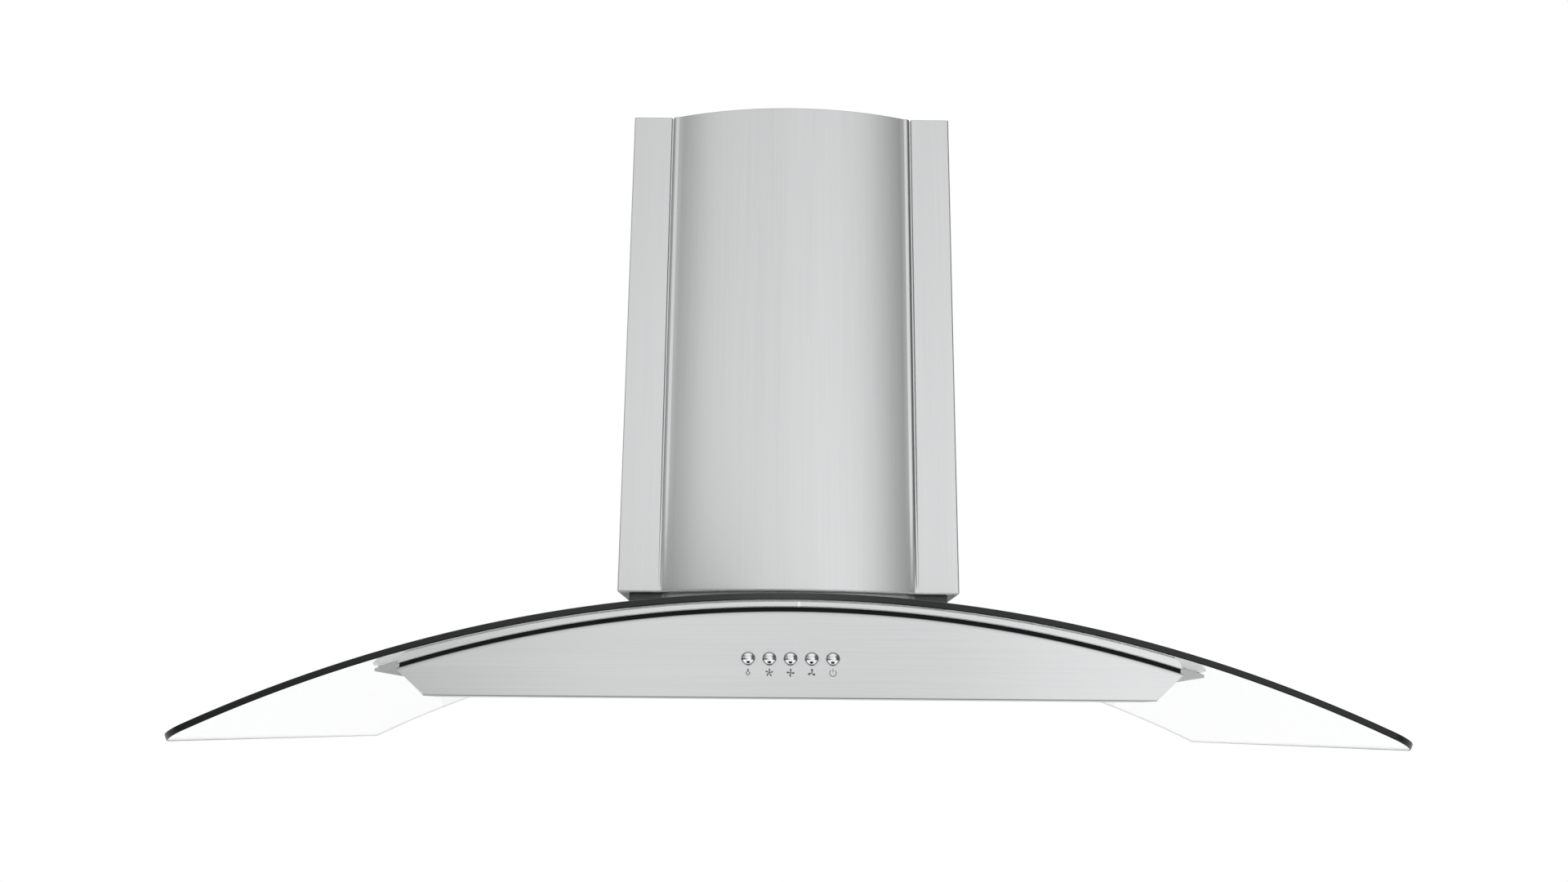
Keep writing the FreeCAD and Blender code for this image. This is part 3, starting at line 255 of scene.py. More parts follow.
lamp_data = bpy.data.lights.new("soft_lamp", "AREA")
lamp_data.size = lamp_size
lamp_data.energy = lamp_power
lamp = bpy.data.objects.new("soft_lamp", lamp_data)
lamp.location = lamp_place
lamp.rotation_euler = (Vector(lamp_aim) - lamp.location).to_track_quat("-Z", "Y").to_euler()
lamp.visible_glossy = False
scene.collection.objects.link(lamp)
print("floor at", floor_height, "m, lamp", lamp_power, "W")

# %% [markdown]
# Steel sheet for kitchens is brushed: a belt leaves fine parallel scratches that blur a
# reflection across the grain and leave it sharp along it. Three things make that finish:
# noise stretched along the grain for colour and gloss, the same noise as a very shallow
# bump, and an anisotropic highlight whose tangent lies across the grain.

# %% Helpers for finishes
def paint(name):
    """A new material with its node tree and its main shader."""
    material = bpy.data.materials.new(name)
    material.use_nodes = True
    return material, material.node_tree, main_shader(material)


def noise(tree, scale, stretch=(1.0, 1.0, 1.0), detail=3.0):
    """Noise in the piece's own space, finer in the directions with a larger stretch."""
    place = add(tree, "ShaderNodeTexCoord").outputs["Object"]
    stretched = add(tree, "ShaderNodeMapping", {"Vector": place, "Scale": stretch}).outputs[0]
    return add(tree, "ShaderNodeTexNoise", {"Vector": stretched, "Scale": scale, "Detail": detail}).outputs[0]


def spread(tree, value, low, high):
    """A noise value spread between two numbers."""
    return add(tree, "ShaderNodeMapRange", {
        "Value": value, "From Min": 0.3, "From Max": 0.7, "To Min": low, "To Max": high}).outputs[0]


def shade(colour, share):
    """The same colour, lighter or darker by a share."""
    return tuple(min(1.0, c * share) for c in colour)


def bumps(shader, value, strength, depth):
    """Small hills of a depth in millimetres, felt by the light only."""
    inputs = {"Height": value, "Strength": strength, "Distance": depth * mm}
    bump = add(shader.id_data, "ShaderNodeBump", inputs)
    feed(shader, {"Normal": bump.outputs[0]})


def coarse_finish(name, colour, roughness, variation, scale, metallic=0.0, depth=0.02,
                  stretch=(1.0, 1.0, 1.0)):
    """A cast, moulded, rolled or plated finish: mottled colour, uneven gloss and fine bumps."""
    material, tree, shader = paint(name)
    grain = noise(tree, scale, stretch)
    stops = [(0.3, shade(colour, 1.0 - variation)), (0.7, shade(colour, 1.0 + variation))]
    feed(shader, {"Base Color": ramp(tree, grain, stops), "Metallic": metallic,
                  "Roughness": spread(tree, grain, roughness * 0.88, roughness * 1.12)})
    bumps(shader, grain, 0.5, depth)
    return material


def brushed_steel(name, colour, roughness, grain_axis, turned=0.4):
    """Sheet brushed along one axis, with fine scratches on top of broad soft streaks."""
    material, tree, shader = paint(name)
    along_x = grain_axis == "X"
    fine = noise(tree, 1.0, (7.0, 900.0, 900.0) if along_x else (900.0, 900.0, 7.0), 2.0)
    broad = noise(tree, 1.0, (2.0, 90.0, 90.0) if along_x else (70.0, 70.0, 2.0), 2.0)
    both = math_node(tree, "MULTIPLY", math_node(tree, "ADD", fine, broad), 0.5)
    stops = [(0.35, shade(colour, 0.975)), (0.65, shade(colour, 1.025))]
    tangent = add(tree, "ShaderNodeTangent", direction_type="RADIAL", axis="X" if along_x else "Z")
    feed(shader, {"Base Color": ramp(tree, both, stops), "Metallic": 1.0, "Anisotropic": turned,
                  "Roughness": spread(tree, both, roughness * 0.92, roughness * 1.08),
                  "Tangent": tangent.outputs[0]})
    bumps(shader, fine, 0.2, 0.004)
    return material


print("helpers for finishes ready")

# %% [markdown]
# A metal gets its brightness from the room, and a plastic or rubber has its own colour.
# The chimney's grain runs upright and the front's from side to side.

# %% Finishes
chimney_steel = brushed_steel("brushed_upright", (0.70, 0.705, 0.71), 0.25, "Z")
front_steel = brushed_steel("brushed_across", (0.70, 0.705, 0.71), 0.22, "X")
# The body sheets' steel is rougher, and painted darker than the front's: painted shade for where they lie
# under the panel and the glass.
shaded_body_steel = brushed_steel("brushed_body", (0.50, 0.505, 0.51), 0.36, "X")
seam_black = coarse_finish("dark_seam_rubber", (0.006, 0.006, 0.007), 0.55, 0.3, 400.0)
main_shader(seam_black).inputs["Specular IOR Level"].default_value = 0.15
galvanised = coarse_finish("galvanised_sheet", (0.52, 0.53, 0.54), 0.42, 0.16, 60.0, 1.0)
zinc_plate = coarse_finish("zinc_fastener", (0.60, 0.60, 0.58), 0.34, 0.08, 500.0, 1.0)
chrome = coarse_finish("polished_chrome", (0.83, 0.84, 0.86), 0.07, 0.02, 300.0, 1.0, 0.002)
bare_aluminium = coarse_finish(
    "rolled_aluminium", (0.70, 0.71, 0.72), 0.33, 0.06, 8.0, 1.0, 0.01, (60.0, 4.0, 60.0))
black_plastic = coarse_finish("moulded_black", (0.028, 0.028, 0.03), 0.48, 0.18, 700.0)
white_plastic = coarse_finish("moulded_white", (0.78, 0.78, 0.76), 0.45, 0.03, 700.0)
pale_silicone = coarse_finish("pale_silicone", (0.93, 0.935, 0.93), 0.5, 0.03, 300.0)
main_shader(pale_silicone).inputs["Transmission Weight"].default_value = 0.4
dark_rubber = coarse_finish("soft_rubber", (0.03, 0.03, 0.03), 0.75, 0.25, 500.0)
motor_paint = coarse_finish("motor_enamel", (0.13, 0.13, 0.14), 0.38, 0.12, 350.0, 0.0, 0.04)
board_green = coarse_finish("board_resin", (0.03, 0.16, 0.08), 0.35, 0.2, 250.0)
dark_coat = coarse_finish("dark_coated_steel", (0.17, 0.175, 0.18), 0.42, 0.12, 300.0, 0.8)
print("finishes made:", len(bpy.data.materials))

# %% [markdown]
# Pieces that the light picks out are built from points in millimetres. A shape is a list
# of points with a list of faces, and most shapes are rows of points with faces between
# them. The helpers join rows to a shape, close its ends, and round a corner off.

# %% Helpers for shapes
def skin(rows, closed_rows=True, closed_columns=False):
    """Four-sided faces between neighbouring rows of points, numbered row after row."""
    count = len(rows[0])
    last_row = len(rows) if closed_rows else len(rows) - 1
    last_column = count if closed_columns else count - 1
    faces = []
    for i in range(last_row):
        for j in range(last_column):
            a, b = i * count, ((i + 1) % len(rows)) * count
            k = (j + 1) % count
            faces.append((a + j, a + k, b + k, b + j))
    return [p for row in rows for p in row], faces


def band(rows):
    """Rows that are closed loops, joined to a tube with open ends."""
    return skin(rows, closed_rows=False, closed_columns=True)


def capped(rows):
    """The same tube with a flat face on each end."""
    points, faces = band(rows)
    count, last = len(rows[0]), len(points)
    return points, faces + [tuple(range(count)), tuple(range(last - count, last))]


def gather(shapes):
    """Several shapes as one."""
    points, faces = [], []
    for more_points, more_faces in shapes:
        faces += [tuple(k + len(points) for k in face) for face in more_faces]
        points += more_points
    return points, faces


def quarter_round(radius, step=15):
    """A corner at (0, 0) rounded off: points from (0, radius) to (radius, 0)."""
    angles = [math.radians(a) for a in range(0, 91, step)]
    return [(radius * (1.0 - math.cos(a)), radius * (1.0 - math.sin(a))) for a in angles]


print("points of a rounded corner:", len(quarter_round(1.0)))

# %% [markdown]
# One more helper turns a shape into a finished piece: it welds doubled points, turns the
# faces outwards, smooths gentle angles, keeps the others sharp, and weights the normals
# by face size, so that a broad flat face stays flat up to its small rounded edge.

# %% Helper for a finished piece
def finish_piece(name, shape, materials, body, replaced, soft_angle=40.0, marks=None):
    """A piece from a shape in mm. marks gives each face the number of its material."""
    points, faces = shape
    mesh = bpy.data.meshes.new(name)
    mesh.from_pydata([Vector(p) * mm for p in points], [], faces)
    for material in materials:
        mesh.materials.append(material)
    if marks:
        mesh.polygons.foreach_set("material_index", marks)
    draft = bmesh.new()
    draft.from_mesh(mesh)
    bmesh.ops.remove_doubles(draft, verts=draft.verts, dist=0.002 * mm)
    bmesh.ops.recalc_face_normals(draft, faces=draft.faces)
    for face in draft.faces:
        face.smooth = True
    for edge in draft.edges:
        edge.smooth = edge.calc_face_angle(0.0) < math.radians(soft_angle)
    draft.to_mesh(mesh)
    draft.free()
    piece = bpy.data.objects.new(name, mesh)
    scene.collection.objects.link(piece)
    weigh = piece.modifiers.new("even_normals", "WEIGHTED_NORMAL")
    weigh.keep_sharp = True
    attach(piece, body)
    if replaced:
        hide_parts(*replaced)
    return piece


print("helper for a finished piece ready")

# %% [markdown]
# The chimney cover is one sheet folded round three sides. Two flat strips flank a front
# that bows out by 22 mm. Where strip and bow meet, the fold leaves a narrow dark groove
# with a rolled edge beside it that catches the light. The outline seen from above is
# drawn first. It can be moved inwards, since the inside of the sheet follows the outside.

# %% Outline of a chimney cover
cover_half_width = 155.0
cover_front = -280.0
cover_rear = -2.0
cover_return = 14.0
bow_radius = 311.57
bow_centre_y = 9.57
corner_round = 1.6
cover_sheet = 1.0
bow_steps = 25
hem_radius, foot_return = 2.0, 12.0
groove_fades_from, groove_ends = -45.0, -140.0
# across the groove and the rolled edge: mm inside or outside of the fold, mm towards the wall
groove_and_roll = [
    (4.4, 0.0), (3.3, 0.05), (2.9, 0.45), (2.75, 1.2), (2.7, 2.6), (1.4, 2.6), (1.3, 1.3), (1.05, 0.2),
    (0.5, -0.55), (-0.4, -0.95), (-1.4, -1.02), (-2.4, -0.75), (-3.5, -0.32), (-4.6, 0.0),
]


def bow_y(x, inset):
    """Front of the cover at x: the flat strips outside the fold, the bow inside it."""
    reach = (bow_radius - inset) ** 2 - x * x
    bow = bow_centre_y - math.sqrt(reach) if reach > 0 else cover_front
    return min(cover_front + inset, bow)


def fold_x(inset):
    """Where the bow meets the strips."""
    return math.sqrt((bow_radius - inset) ** 2 - (bow_centre_y - cover_front - inset) ** 2)


def cover_ring(inset, height, groove):
    """Half of the cover's outline, from the rear to the middle, then its mirror image."""
    side = cover_half_width - inset
    turn = max(corner_round - inset, 0.02)
    half = [(cover_half_width - cover_return, cover_rear - inset), (side, cover_rear - inset)]
    half += [(side, y) for y in (-60.0, -140.0, -220.0)]
    half += [(side - inward, cover_front + inset + back) for inward, back in quarter_round(turn)]
    fold = fold_x(inset)
    for across, depth in groove_and_roll:
        half.append((fold + across, bow_y(fold + across, inset) + depth * groove))
    bow_end = fold + groove_and_roll[-1][0]
    for step in range(1, bow_steps + 1):
        x = bow_end * (1.0 - step / bow_steps)
        half.append((x, bow_y(x, inset)))
    mirrored = [(-x, y) for x, y in reversed(half[:-1])]
    return [(x, y, height) for x, y in half + mirrored]


print("chimney outline:", len(cover_ring(0.0, 0.0, 1.0)), "points, folds at x =", round(fold_x(0.0), 1))

# %% [markdown]
# The sheet is a stack of such outlines, each at one height and one inset: down the
# outside, round the hem, in along the foot and up the inside. The groove gets shallower
# towards the foot, as the fold does there. The upper cover slides inside the lower one.

# %% Chimney covers
def groove_depth(height):
    """The groove is full down to one height, and has run out at a lower one."""
    return min(1.0, max(0.0, (height - groove_ends) / (groove_fades_from - groove_ends)))


def cover_piece(name, inset, bottom, top, node, body, foot):
    """A whole cover from its rings, with caps on its two rear edges."""
    levels = [top - 0.4] + [top - (top - bottom) * k / 6 for k in (2, 4)]
    levels += [z for z in (groove_fades_from, -75.0, -110.0, groove_ends) if bottom + 4 < z < levels[-1] - 5]
    outside = [(0.0, z) for z in levels]
    if foot:
        hem = [(inward, bottom + up) for inward, up in quarter_round(hem_radius)]
        path = outside + hem + [(foot_return, bottom), (foot_return, bottom + cover_sheet)]
        path += [(2.2, bottom + cover_sheet), (cover_sheet, bottom + 2.2)]
    else:
        path = outside + [(0.0, bottom + 0.3), (0.3, bottom), (0.7, bottom), (1.0, bottom + 0.3)]
    path += [(cover_sheet, z) for z in reversed(levels)] + [(0.7, top), (0.3, top)]
    rings = [cover_ring(inset + d, z, groove_depth(z) if foot else 1.0) for d, z in path]
    points, faces = skin(rings)
    count = len(rings[0])
    # Faces from the foot's underside on take the dark steel: on the inside it is the sheet's unbrushed back,
    # on the foot's underside, which is in view, it is painted shade.
    dark_faces_from = len(outside) + (7 if foot else 2)
    marks = [1 if k // (count - 1) >= dark_faces_from - 1 else 0 for k in range(len(faces))]
    faces.append(tuple(k * count for k in range(len(rings))))
    faces.append(tuple(k * count + count - 1 for k in range(len(rings))))
    return finish_piece(name, (points, faces), [chimney_steel, dark_inside_and_foot_steel], body, [node],
                        marks=marks + [1, 1])


# Dark steel for the inside of the sheet, and painted shade on the underside of the lower cover's foot.
dark_inside_and_foot_steel = coarse_finish("unbrushed_inside_and_foot_shade", (0.20, 0.20, 0.205), 0.45, 0.1, 220.0, 0.9)
lower_cover = cover_piece("lower_cover_sheet", 0.0, -148.0, 320.0, "chimney_lower", "hood", True)
upper_cover = cover_piece("upper_cover_sheet", 1.6, -118.0, 318.0, "chimney_upper", "upper_cover", False)
print("lower cover:", len(lower_cover.data.polygons), "faces, upper:", len(upper_cover.data.polygons))

# %% [markdown]
# The canopy is 5 mm glass bent to a radius of about a metre. Glass is cut flat, its edges
# are ground and its arrises taken off before it is bent over a form, and it is made here
# in that order: an outline with its notch, corners and bolt holes, filled with triangles,
# given bevelled edges, then bent. The outline comes first, as a loop of points that can
# be moved inwards, so that the same loop serves for the face and for each row of a bevel.

# %% Outline of the glass
glass_half, glass_front, glass_rear = 450.0, -500.0, -2.0
glass_radius, glass_thick, glass_axis = 1020.0, 5.0, -1190.0
front_round, notch_half, notch_front, notch_round = 18.0, 137.5, -264.5, 6.0
hole_radius, arris = 3.6, 0.7
hole_angle, hole_ys = math.radians(12.5), (-390.0, -110.0)
hole_places = [(side * glass_radius * math.sin(hole_angle), y) for side in (-1, 1) for y in hole_ys]


def arc_points(centre, radius, start, end, steps):
    """Points on an arc, in degrees."""
    angles = [math.radians(start + (end - start) * k / steps) for k in range(steps + 1)]
    return [(centre[0] + radius * math.cos(a), centre[1] + radius * math.sin(a)) for a in angles]


def run_points(a, b, pitch):
    """Points between a and b, without the two ends."""
    count = max(1, int(math.dist(a, b) / pitch))
    return [(a[0] + (b[0] - a[0]) * k / count, a[1] + (b[1] - a[1]) * k / count) for k in range(1, count)]


def glass_outline(inset):
    """The canopy's outline seen from above, moved inwards by an inset."""
    left, right = -glass_half + inset, glass_half - inset
    front, rear = glass_front + inset, glass_rear - inset
    r, n, nf, nr = front_round - inset, notch_half + inset, notch_front - inset, notch_round + inset
    # the notch's corners are filled, so their centres lie inside the notch
    cy = notch_front + notch_round
    cx = notch_half - notch_round
    path = arc_points((left + r, front + r), r, 180, 270, 12)
    path += run_points((left + r, front), (right - r, front), 14.0)
    path += arc_points((right - r, front + r), r, 270, 360, 12)
    path += run_points((right, front + r), (right, rear), 31.0) + [(right, rear)]
    path += run_points((right, rear), (n, rear), 14.0) + [(n, rear)]
    path += run_points((n, rear), (n, cy), 30.0)
    path += arc_points((cx, cy), nr, 0, -90, 6)
    path += run_points((cx, nf), (-cx, nf), 14.0)
    path += arc_points((-cx, cy), nr, 270, 180, 6)
    path += run_points((-n, cy), (-n, rear), 30.0) + [(-n, rear)]
    path += run_points((-n, rear), (left, rear), 14.0) + [(left, rear)]
    path += run_points((left, rear), (left, front + r), 31.0)
    return path


def hole_outline(centre, inset):
    """A bolt hole, wider at its arrises."""
    return arc_points(centre, hole_radius + inset, 0, 360, 20)[:-1]


print("outline of the glass:", len(glass_outline(0.0)), "points")

# %% [markdown]
# A loop with holes can't be one face, so it is filled with triangles in a way that keeps
# every edge of the loops. A grid of points inside keeps the triangles small, so that the
# sheet bends evenly.

# %% Fill and bend
def bend(x, y, depth):
    """A point of the flat sheet, at a depth below its upper face, on the bent canopy."""
    angle = math.asin(x / glass_radius)
    radius = glass_radius - depth
    return (radius * math.sin(angle), y, glass_axis + radius * math.cos(angle))


def inside(point, loops):
    """Whether a point lies inside the first loop and outside the holes in it."""
    x, y = point
    crossings = 0
    for loop in loops:
        for (ax, ay), (bx, by) in zip(loop, loop[1:] + loop[:1]):
            if (ay > y) != (by > y) and x < ax + (y - ay) / (by - ay) * (bx - ax):
                crossings += 1
    return crossings % 2 == 1


def flat_fill(loops, pitch, clear=6.0):
    """Triangles inside the first loop and outside the others. Inside lies a grid of points,
    except for a clear strip along the loops."""
    points = [p for loop in loops for p in loop]
    edges, start = [], 0
    for loop in loops:
        edges += [(start + k, start + (k + 1) % len(loop)) for k in range(len(loop))]
        start += len(loop)
    xs, ys = zip(*loops[0])
    for i in range(int((max(xs) - min(xs)) / pitch[0])):
        for j in range(int((max(ys) - min(ys)) / pitch[1])):
            p = (min(xs) + (i + 0.5) * pitch[0], min(ys) + (j + 0.5) * pitch[1])
            near_loop = min(math.dist(p, q) for loop in loops for q in loop) < clear
            if not near_loop and inside(p, loops):
                points.append(p)
    corners, _, triangles, *_ = delaunay_2d_cdt([Vector(p) for p in points], edges, [], 0, 1e-5)
    kept = []
    for face in triangles:
        middle = sum((corners[k] for k in face), Vector((0, 0))) / len(face)
        if inside(middle, loops):
            kept.append(tuple(face))
    return [tuple(p) for p in corners], kept


print("edge of the canopy at z =", round(bend(glass_half, glass_front, 0.0)[2], 2), "mm")

# %% [markdown]
# The sheet is the filled outline twice, with bands of four-sided faces between the two.
# The bands start and end a little inwards, which takes the arrises off. The front edge
# shows nearly black, because light that enters it is lost in the sheet, and the others
# are ground to a matt grey, so every face is marked with the finish that it gets.

# %% Faces of the glass
edge_steps = [(arris, 0.0), (arris * 0.3, arris * 0.3), (0.0, arris), (0.0, glass_thick - arris),
              (arris * 0.3, glass_thick - arris * 0.3), (arris, glass_thick)]
fill_points, fill_faces = flat_fill(
    [glass_outline(arris)] + [hole_outline(c, arris) for c in hole_places], (15.0, 32.0))
glass_shapes = [
    ([bend(x, y, 0.0) for x, y in fill_points], fill_faces),
    ([bend(x, y, glass_thick) for x, y in fill_points], [face[::-1] for face in fill_faces])]
glass_marks = [0] * (2 * len(fill_faces))
for centre in [None] + hole_places:
    rows = []
    for inset, depth in edge_steps:
        loop = hole_outline(centre, inset) if centre else glass_outline(inset)
        rows.append([bend(x, y, depth) for x, y in loop])
    ring_points, ring_faces = band(rows)
    for face in ring_faces:
        y = sum(ring_points[k][1] for k in face) / len(face)
        front_face = centre is None and y < glass_front + front_round * 0.95
        glass_marks.append(1 if front_face else 2)
    glass_shapes.append((ring_points, ring_faces))

print("glass:", len(glass_marks), "faces of which", glass_marks.count(1), "lie on the front edge")

# %% [markdown]
# Clear glass lets all light through and bends it. Its edges are solid colours instead:
# a real edge is dark through many reflections inside the sheet, and the front edge's dark
# gloss paints that shade at once. It is painted a little paler near the middle of the hood
# and darker towards its ends, which face the side and catch less light.

# %% Finishes of the glass
clear_glass, tree, shader = paint("clear_glass")
glass_tint = ramp(tree, noise(tree, 3.0), [(0.3, (0.975, 0.99, 0.985)), (0.7, (0.985, 0.995, 0.99))])
feed(shader, {"Base Color": glass_tint, "Transmission Weight": 1.0, "Roughness": 0.0, "IOR": 1.5})
bumps(shader, noise(tree, 9.0), 0.05, 0.02)
dark_edge, tree, shader = paint("polished_front_edge")
# Painted shade: the front edge's grey stands in for light lost in the sheet, lighter at the middle and darker
# towards the ends.
side = math_node(tree, "ABSOLUTE", object_axes(tree)["X"])
painted_edge_shade = ramp(tree, math_node(tree, "MULTIPLY", side, 2.0), [
    (0.0, (0.042, 0.046, 0.045)), (0.16, (0.012, 0.014, 0.014)), (0.9, (0.004, 0.005, 0.005))])
speck = ramp(tree, noise(tree, 120.0), [(0.3, 0.8), (0.7, 1.0)])
edge_colour = mix(tree, 1.0, painted_edge_shade, speck, "MULTIPLY")
feed(shader, {"Base Color": edge_colour, "Roughness": 0.22, "IOR": 1.42})
ground_edge = coarse_finish("ground_glass_edge", (0.24, 0.26, 0.255), 0.5, 0.06, 350.0)
canopy = finish_piece("glass_canopy_sheet", gather(glass_shapes), [clear_glass, dark_edge, ground_edge],
                      "hood", ["glass_canopy"], 15.0, glass_marks)
print("canopy:", len(canopy.data.polygons), "faces")

# %% [markdown]
# Under the glass a bright rail carries its front edge, 4 to 8 mm tall. Its upper front
# edge has a small radius, which makes the thin white line under the glass, and its lower
# one a larger radius, so that the light falls off towards the black seam below it. Since
# the two arcs differ, its section changes along its length and is worked out per place.

# %% Section of the glass rail
rail_front, rail_back, rail_end_back = -498.0, -486.0, -460.5
rail_top_radius, seam_edge_radius, rail_bottom_crown = 1014.0, 957.5, -180.4
rail_half_top, rail_half_bottom, rail_end_inside = 280.0, 283.44, 278.5
rail_joint, rail_joint_gap = 6.0, 0.02
eased_end = [(0.0, 0.03), (0.03, 0.0)]
rail_upper_round, rail_lower_round, rail_steps = 0.6, 1.3, 28


def rail_top(x):
    """Upper face of the rail, a little below the glass."""
    return glass_axis + math.sqrt(rail_top_radius ** 2 - x * x)


def rail_bottom(x):
    """Lower face of the rail, along the seam."""
    return rail_bottom_crown - seam_edge_radius + math.sqrt(seam_edge_radius ** 2 - x * x)


def rail_station(share, set_back):
    """The bar's section at a share of its half length, as points round its four sides."""
    x_top, x_bottom = rail_half_top * share, rail_half_bottom * share
    tall = rail_top(x_top) - rail_bottom(x_bottom)
    front = rail_front + set_back
    section = [(rail_back, 0.0)]
    section += [(front + back, down) for down, back in quarter_round(rail_upper_round, 18)]
    section += [(front + back, tall - up) for back, up in quarter_round(rail_lower_round)]
    section.append((rail_back, tall))
    points = []
    for y, down in section:
        t = down / tall
        points.append((x_top + (x_bottom - x_top) * t, y, rail_top(x_top) - down))
    return points


print("rail section:", len(rail_station(0.0, 0.0)), "points")

# %% [markdown]
# The rail is two drawn bars that meet in a butt joint a little right of the middle. Each
# is lofted through its sections, and a plate leads from each outer end back to the body.
# Next to the joint the steel is painted a little brighter: a painted highlight on the joint.

# %% Glass rail
def rail_bar(joint, end):
    """One of the two bars, from its eased end at the joint to the share of its other end."""
    way = 1.0 if end > joint else -1.0
    places = [(joint + way * d / rail_half_top, back) for d, back in eased_end]
    first = places[-1][0]
    places += [(first + (end - first) * k / rail_steps, 0.0) for k in range(1, rail_steps + 1)]
    return capped([rail_station(share, back) for share, back in places])


def rail_end(side):
    """The plate that leads from a bar's end back to the body."""
    corners = [(rail_end_inside, rail_top(rail_end_inside)), (rail_half_top, rail_top(rail_half_top)),
               (rail_half_bottom, rail_bottom(rail_half_bottom)),
               (rail_end_inside, rail_bottom(rail_end_inside))]
    return capped([[(side * x, y, z) for x, z in corners] for y in (rail_back, rail_end_back)])


joint_left = (rail_joint - rail_joint_gap / 2) / rail_half_top
joint_right = (rail_joint + rail_joint_gap / 2) / rail_half_top
rail_shape = gather([
    rail_bar(joint_left, -1.0), rail_bar(joint_right, 1.0), rail_end(-1), rail_end(1)])
rail_steel = brushed_steel("bright_rail", (0.72, 0.725, 0.73), 0.24, "X", 0.3)
tree, shader = rail_steel.node_tree, main_shader(rail_steel)
# Painted highlight: the rail's colour is multiplied up to 1.3 within about a millimetre of the joint.
from_joint = math_node(tree, "ABSOLUTE", math_node(tree, "SUBTRACT", object_axes(tree)["X"], rail_joint * mm))
joint_highlight = ramp(tree, math_node(tree, "MULTIPLY", from_joint, 400.0), [(0.2, 1.3), (0.5, 1.0)])
brushed = shader.inputs["Base Color"].links[0].from_socket
feed(shader, {"Base Color": mix(tree, 1.0, brushed, joint_highlight, "MULTIPLY")})
rail = finish_piece("glass_rail_bars", rail_shape, [rail_steel], "hood", ["glass_rail"])
print("rail:", len(rail.data.polygons), "faces")

# %% [markdown]
# Buttons, rings, lamps and lenses are turned parts, so they are made as on a lathe: half
# an outline, spun round an axis. A button is a chrome cap with a domed face on a thin
# stem. The dome mirrors the whole studio in eight millimetres, so its curve matters more
# than its colour. The ring round it slopes outwards, which gives it dark sides, and its
# nickel is painted darker than the chrome, as shade round the cap.

# %% Lathe and buttons
def lathe(outline, centre, axis, sides=48):
    """Spin (radius, distance along the axis) points round an axis through a centre."""
    rows = []
    x, y, z = centre
    for k in range(sides):
        angle = 2 * math.pi * k / sides
        c, s = math.cos(angle), math.sin(angle)
        if axis == "Y":
            rows.append([(x + r * c, y + t, z + r * s) for r, t in outline])
        else:
            rows.append([(x + r * c, y + r * s, z + t) for r, t in outline])
    return skin(rows)


button_xs = {"lamp": -30.6, "fast": -15.3, "medium": 0.0, "slow": 15.3, "power": 30.6}
button_height, button_face, fascia_face = -217.4, -500.0, -498.0
cap_radius, dome_rise = 4.1, 1.5
dome_sphere = (cap_radius ** 2 + dome_rise ** 2) / (2 * dome_rise)
button_outline = [(0.0, 0.0)]
for step in range(1, 11):
    reach = (cap_radius - 0.15) * step / 10.0
    button_outline.append((reach, dome_sphere - math.sqrt(dome_sphere ** 2 - reach ** 2)))
button_outline += [(cap_radius, dome_rise + 0.25), (cap_radius, 8.7), (cap_radius - 0.3, 9.0)]
button_outline += [(1.5, 9.0), (1.5, 16.2), (1.2, 16.5), (0.0, 16.5)]
for label, x in button_xs.items():
    cap = lathe(button_outline, (x, button_face, button_height), "Y")
    node = "button_" + label
    finish_piece(node + "_cap", cap, [chrome], node, [node], 50.0)

ring_outline = [(4.25, 0.0), (4.25, -0.58), (4.29, -0.6), (4.36, -0.58), (4.6, -0.46), (4.82, -0.32),
                (5.0, -0.17), (5.05, -0.08), (5.05, 0.0)]
ring_shape = gather([
    lathe(ring_outline + [ring_outline[0]], (x, fascia_face, button_height), "Y")
    for x in button_xs.values()])
# Nickel plate, painted darker than nickel: painted shade for the dark outline round each cap.
ring_nickel_and_shade = coarse_finish("plated_nickel_painted_shade", (0.42, 0.42, 0.425), 0.12, 0.03, 300.0, 1.0, 0.002)
finish_piece("button_ring_set", ring_shape, [ring_nickel_and_shade], "hood", ["button_rings"], 50.0)
print("buttons and rings turned:", len(button_xs))

# %% [markdown]
# Below each button a small grey sign says what it does: a lamp, three fans with five,
# four and three blades for the three speeds, and the power sign. They are printed, so
# each is a film a twentieth of a millimetre thick that lies on the panel, cut from flat
# outlines: a ring between two circles, a bar, and a blade shaped like a drop.

# %% Printed signs
sign_height, film = -227.3, 0.05
signs = []


def print_shape(x, outline, hole=None):
    """A film with this outline, centred on a button's place; a hole leaves only its rim."""
    loops = [(outline, 0.0), (outline, -film)] + ([(hole, -film), (hole, 0.0)] if hole else [])
    rows = [[(x + px, fascia_face + y, sign_height + pz) for px, pz in loop] for loop, y in loops]
    signs.append(skin(rows, closed_columns=True) if hole else capped(rows))


def turned(outline, degrees):
    """An outline turned about its middle."""
    c, s = math.cos(math.radians(degrees)), math.sin(math.radians(degrees))
    return [(px * c - pz * s, px * s + pz * c) for px, pz in outline]


def arc_band(inner, outer, start, end):
    """Part of a ring, as one outline."""
    return arc_points((0, 0), outer, start, end, 28) + arc_points((0, 0), inner, end, start, 28)


def blade(width):
    """One fan blade: narrow at the hub, wide and swept at its tip."""
    back = [(0.35 * width, 0.5), (0.7 * width, 1.4), (0.72 * width, 2.2), (0.45 * width, 2.75)]
    front = [(0.0, 2.9), (-0.38 * width, 2.7), (-0.5 * width, 2.2), (-0.22 * width, 1.4),
             (-0.12 * width, 0.5)]
    return back + front


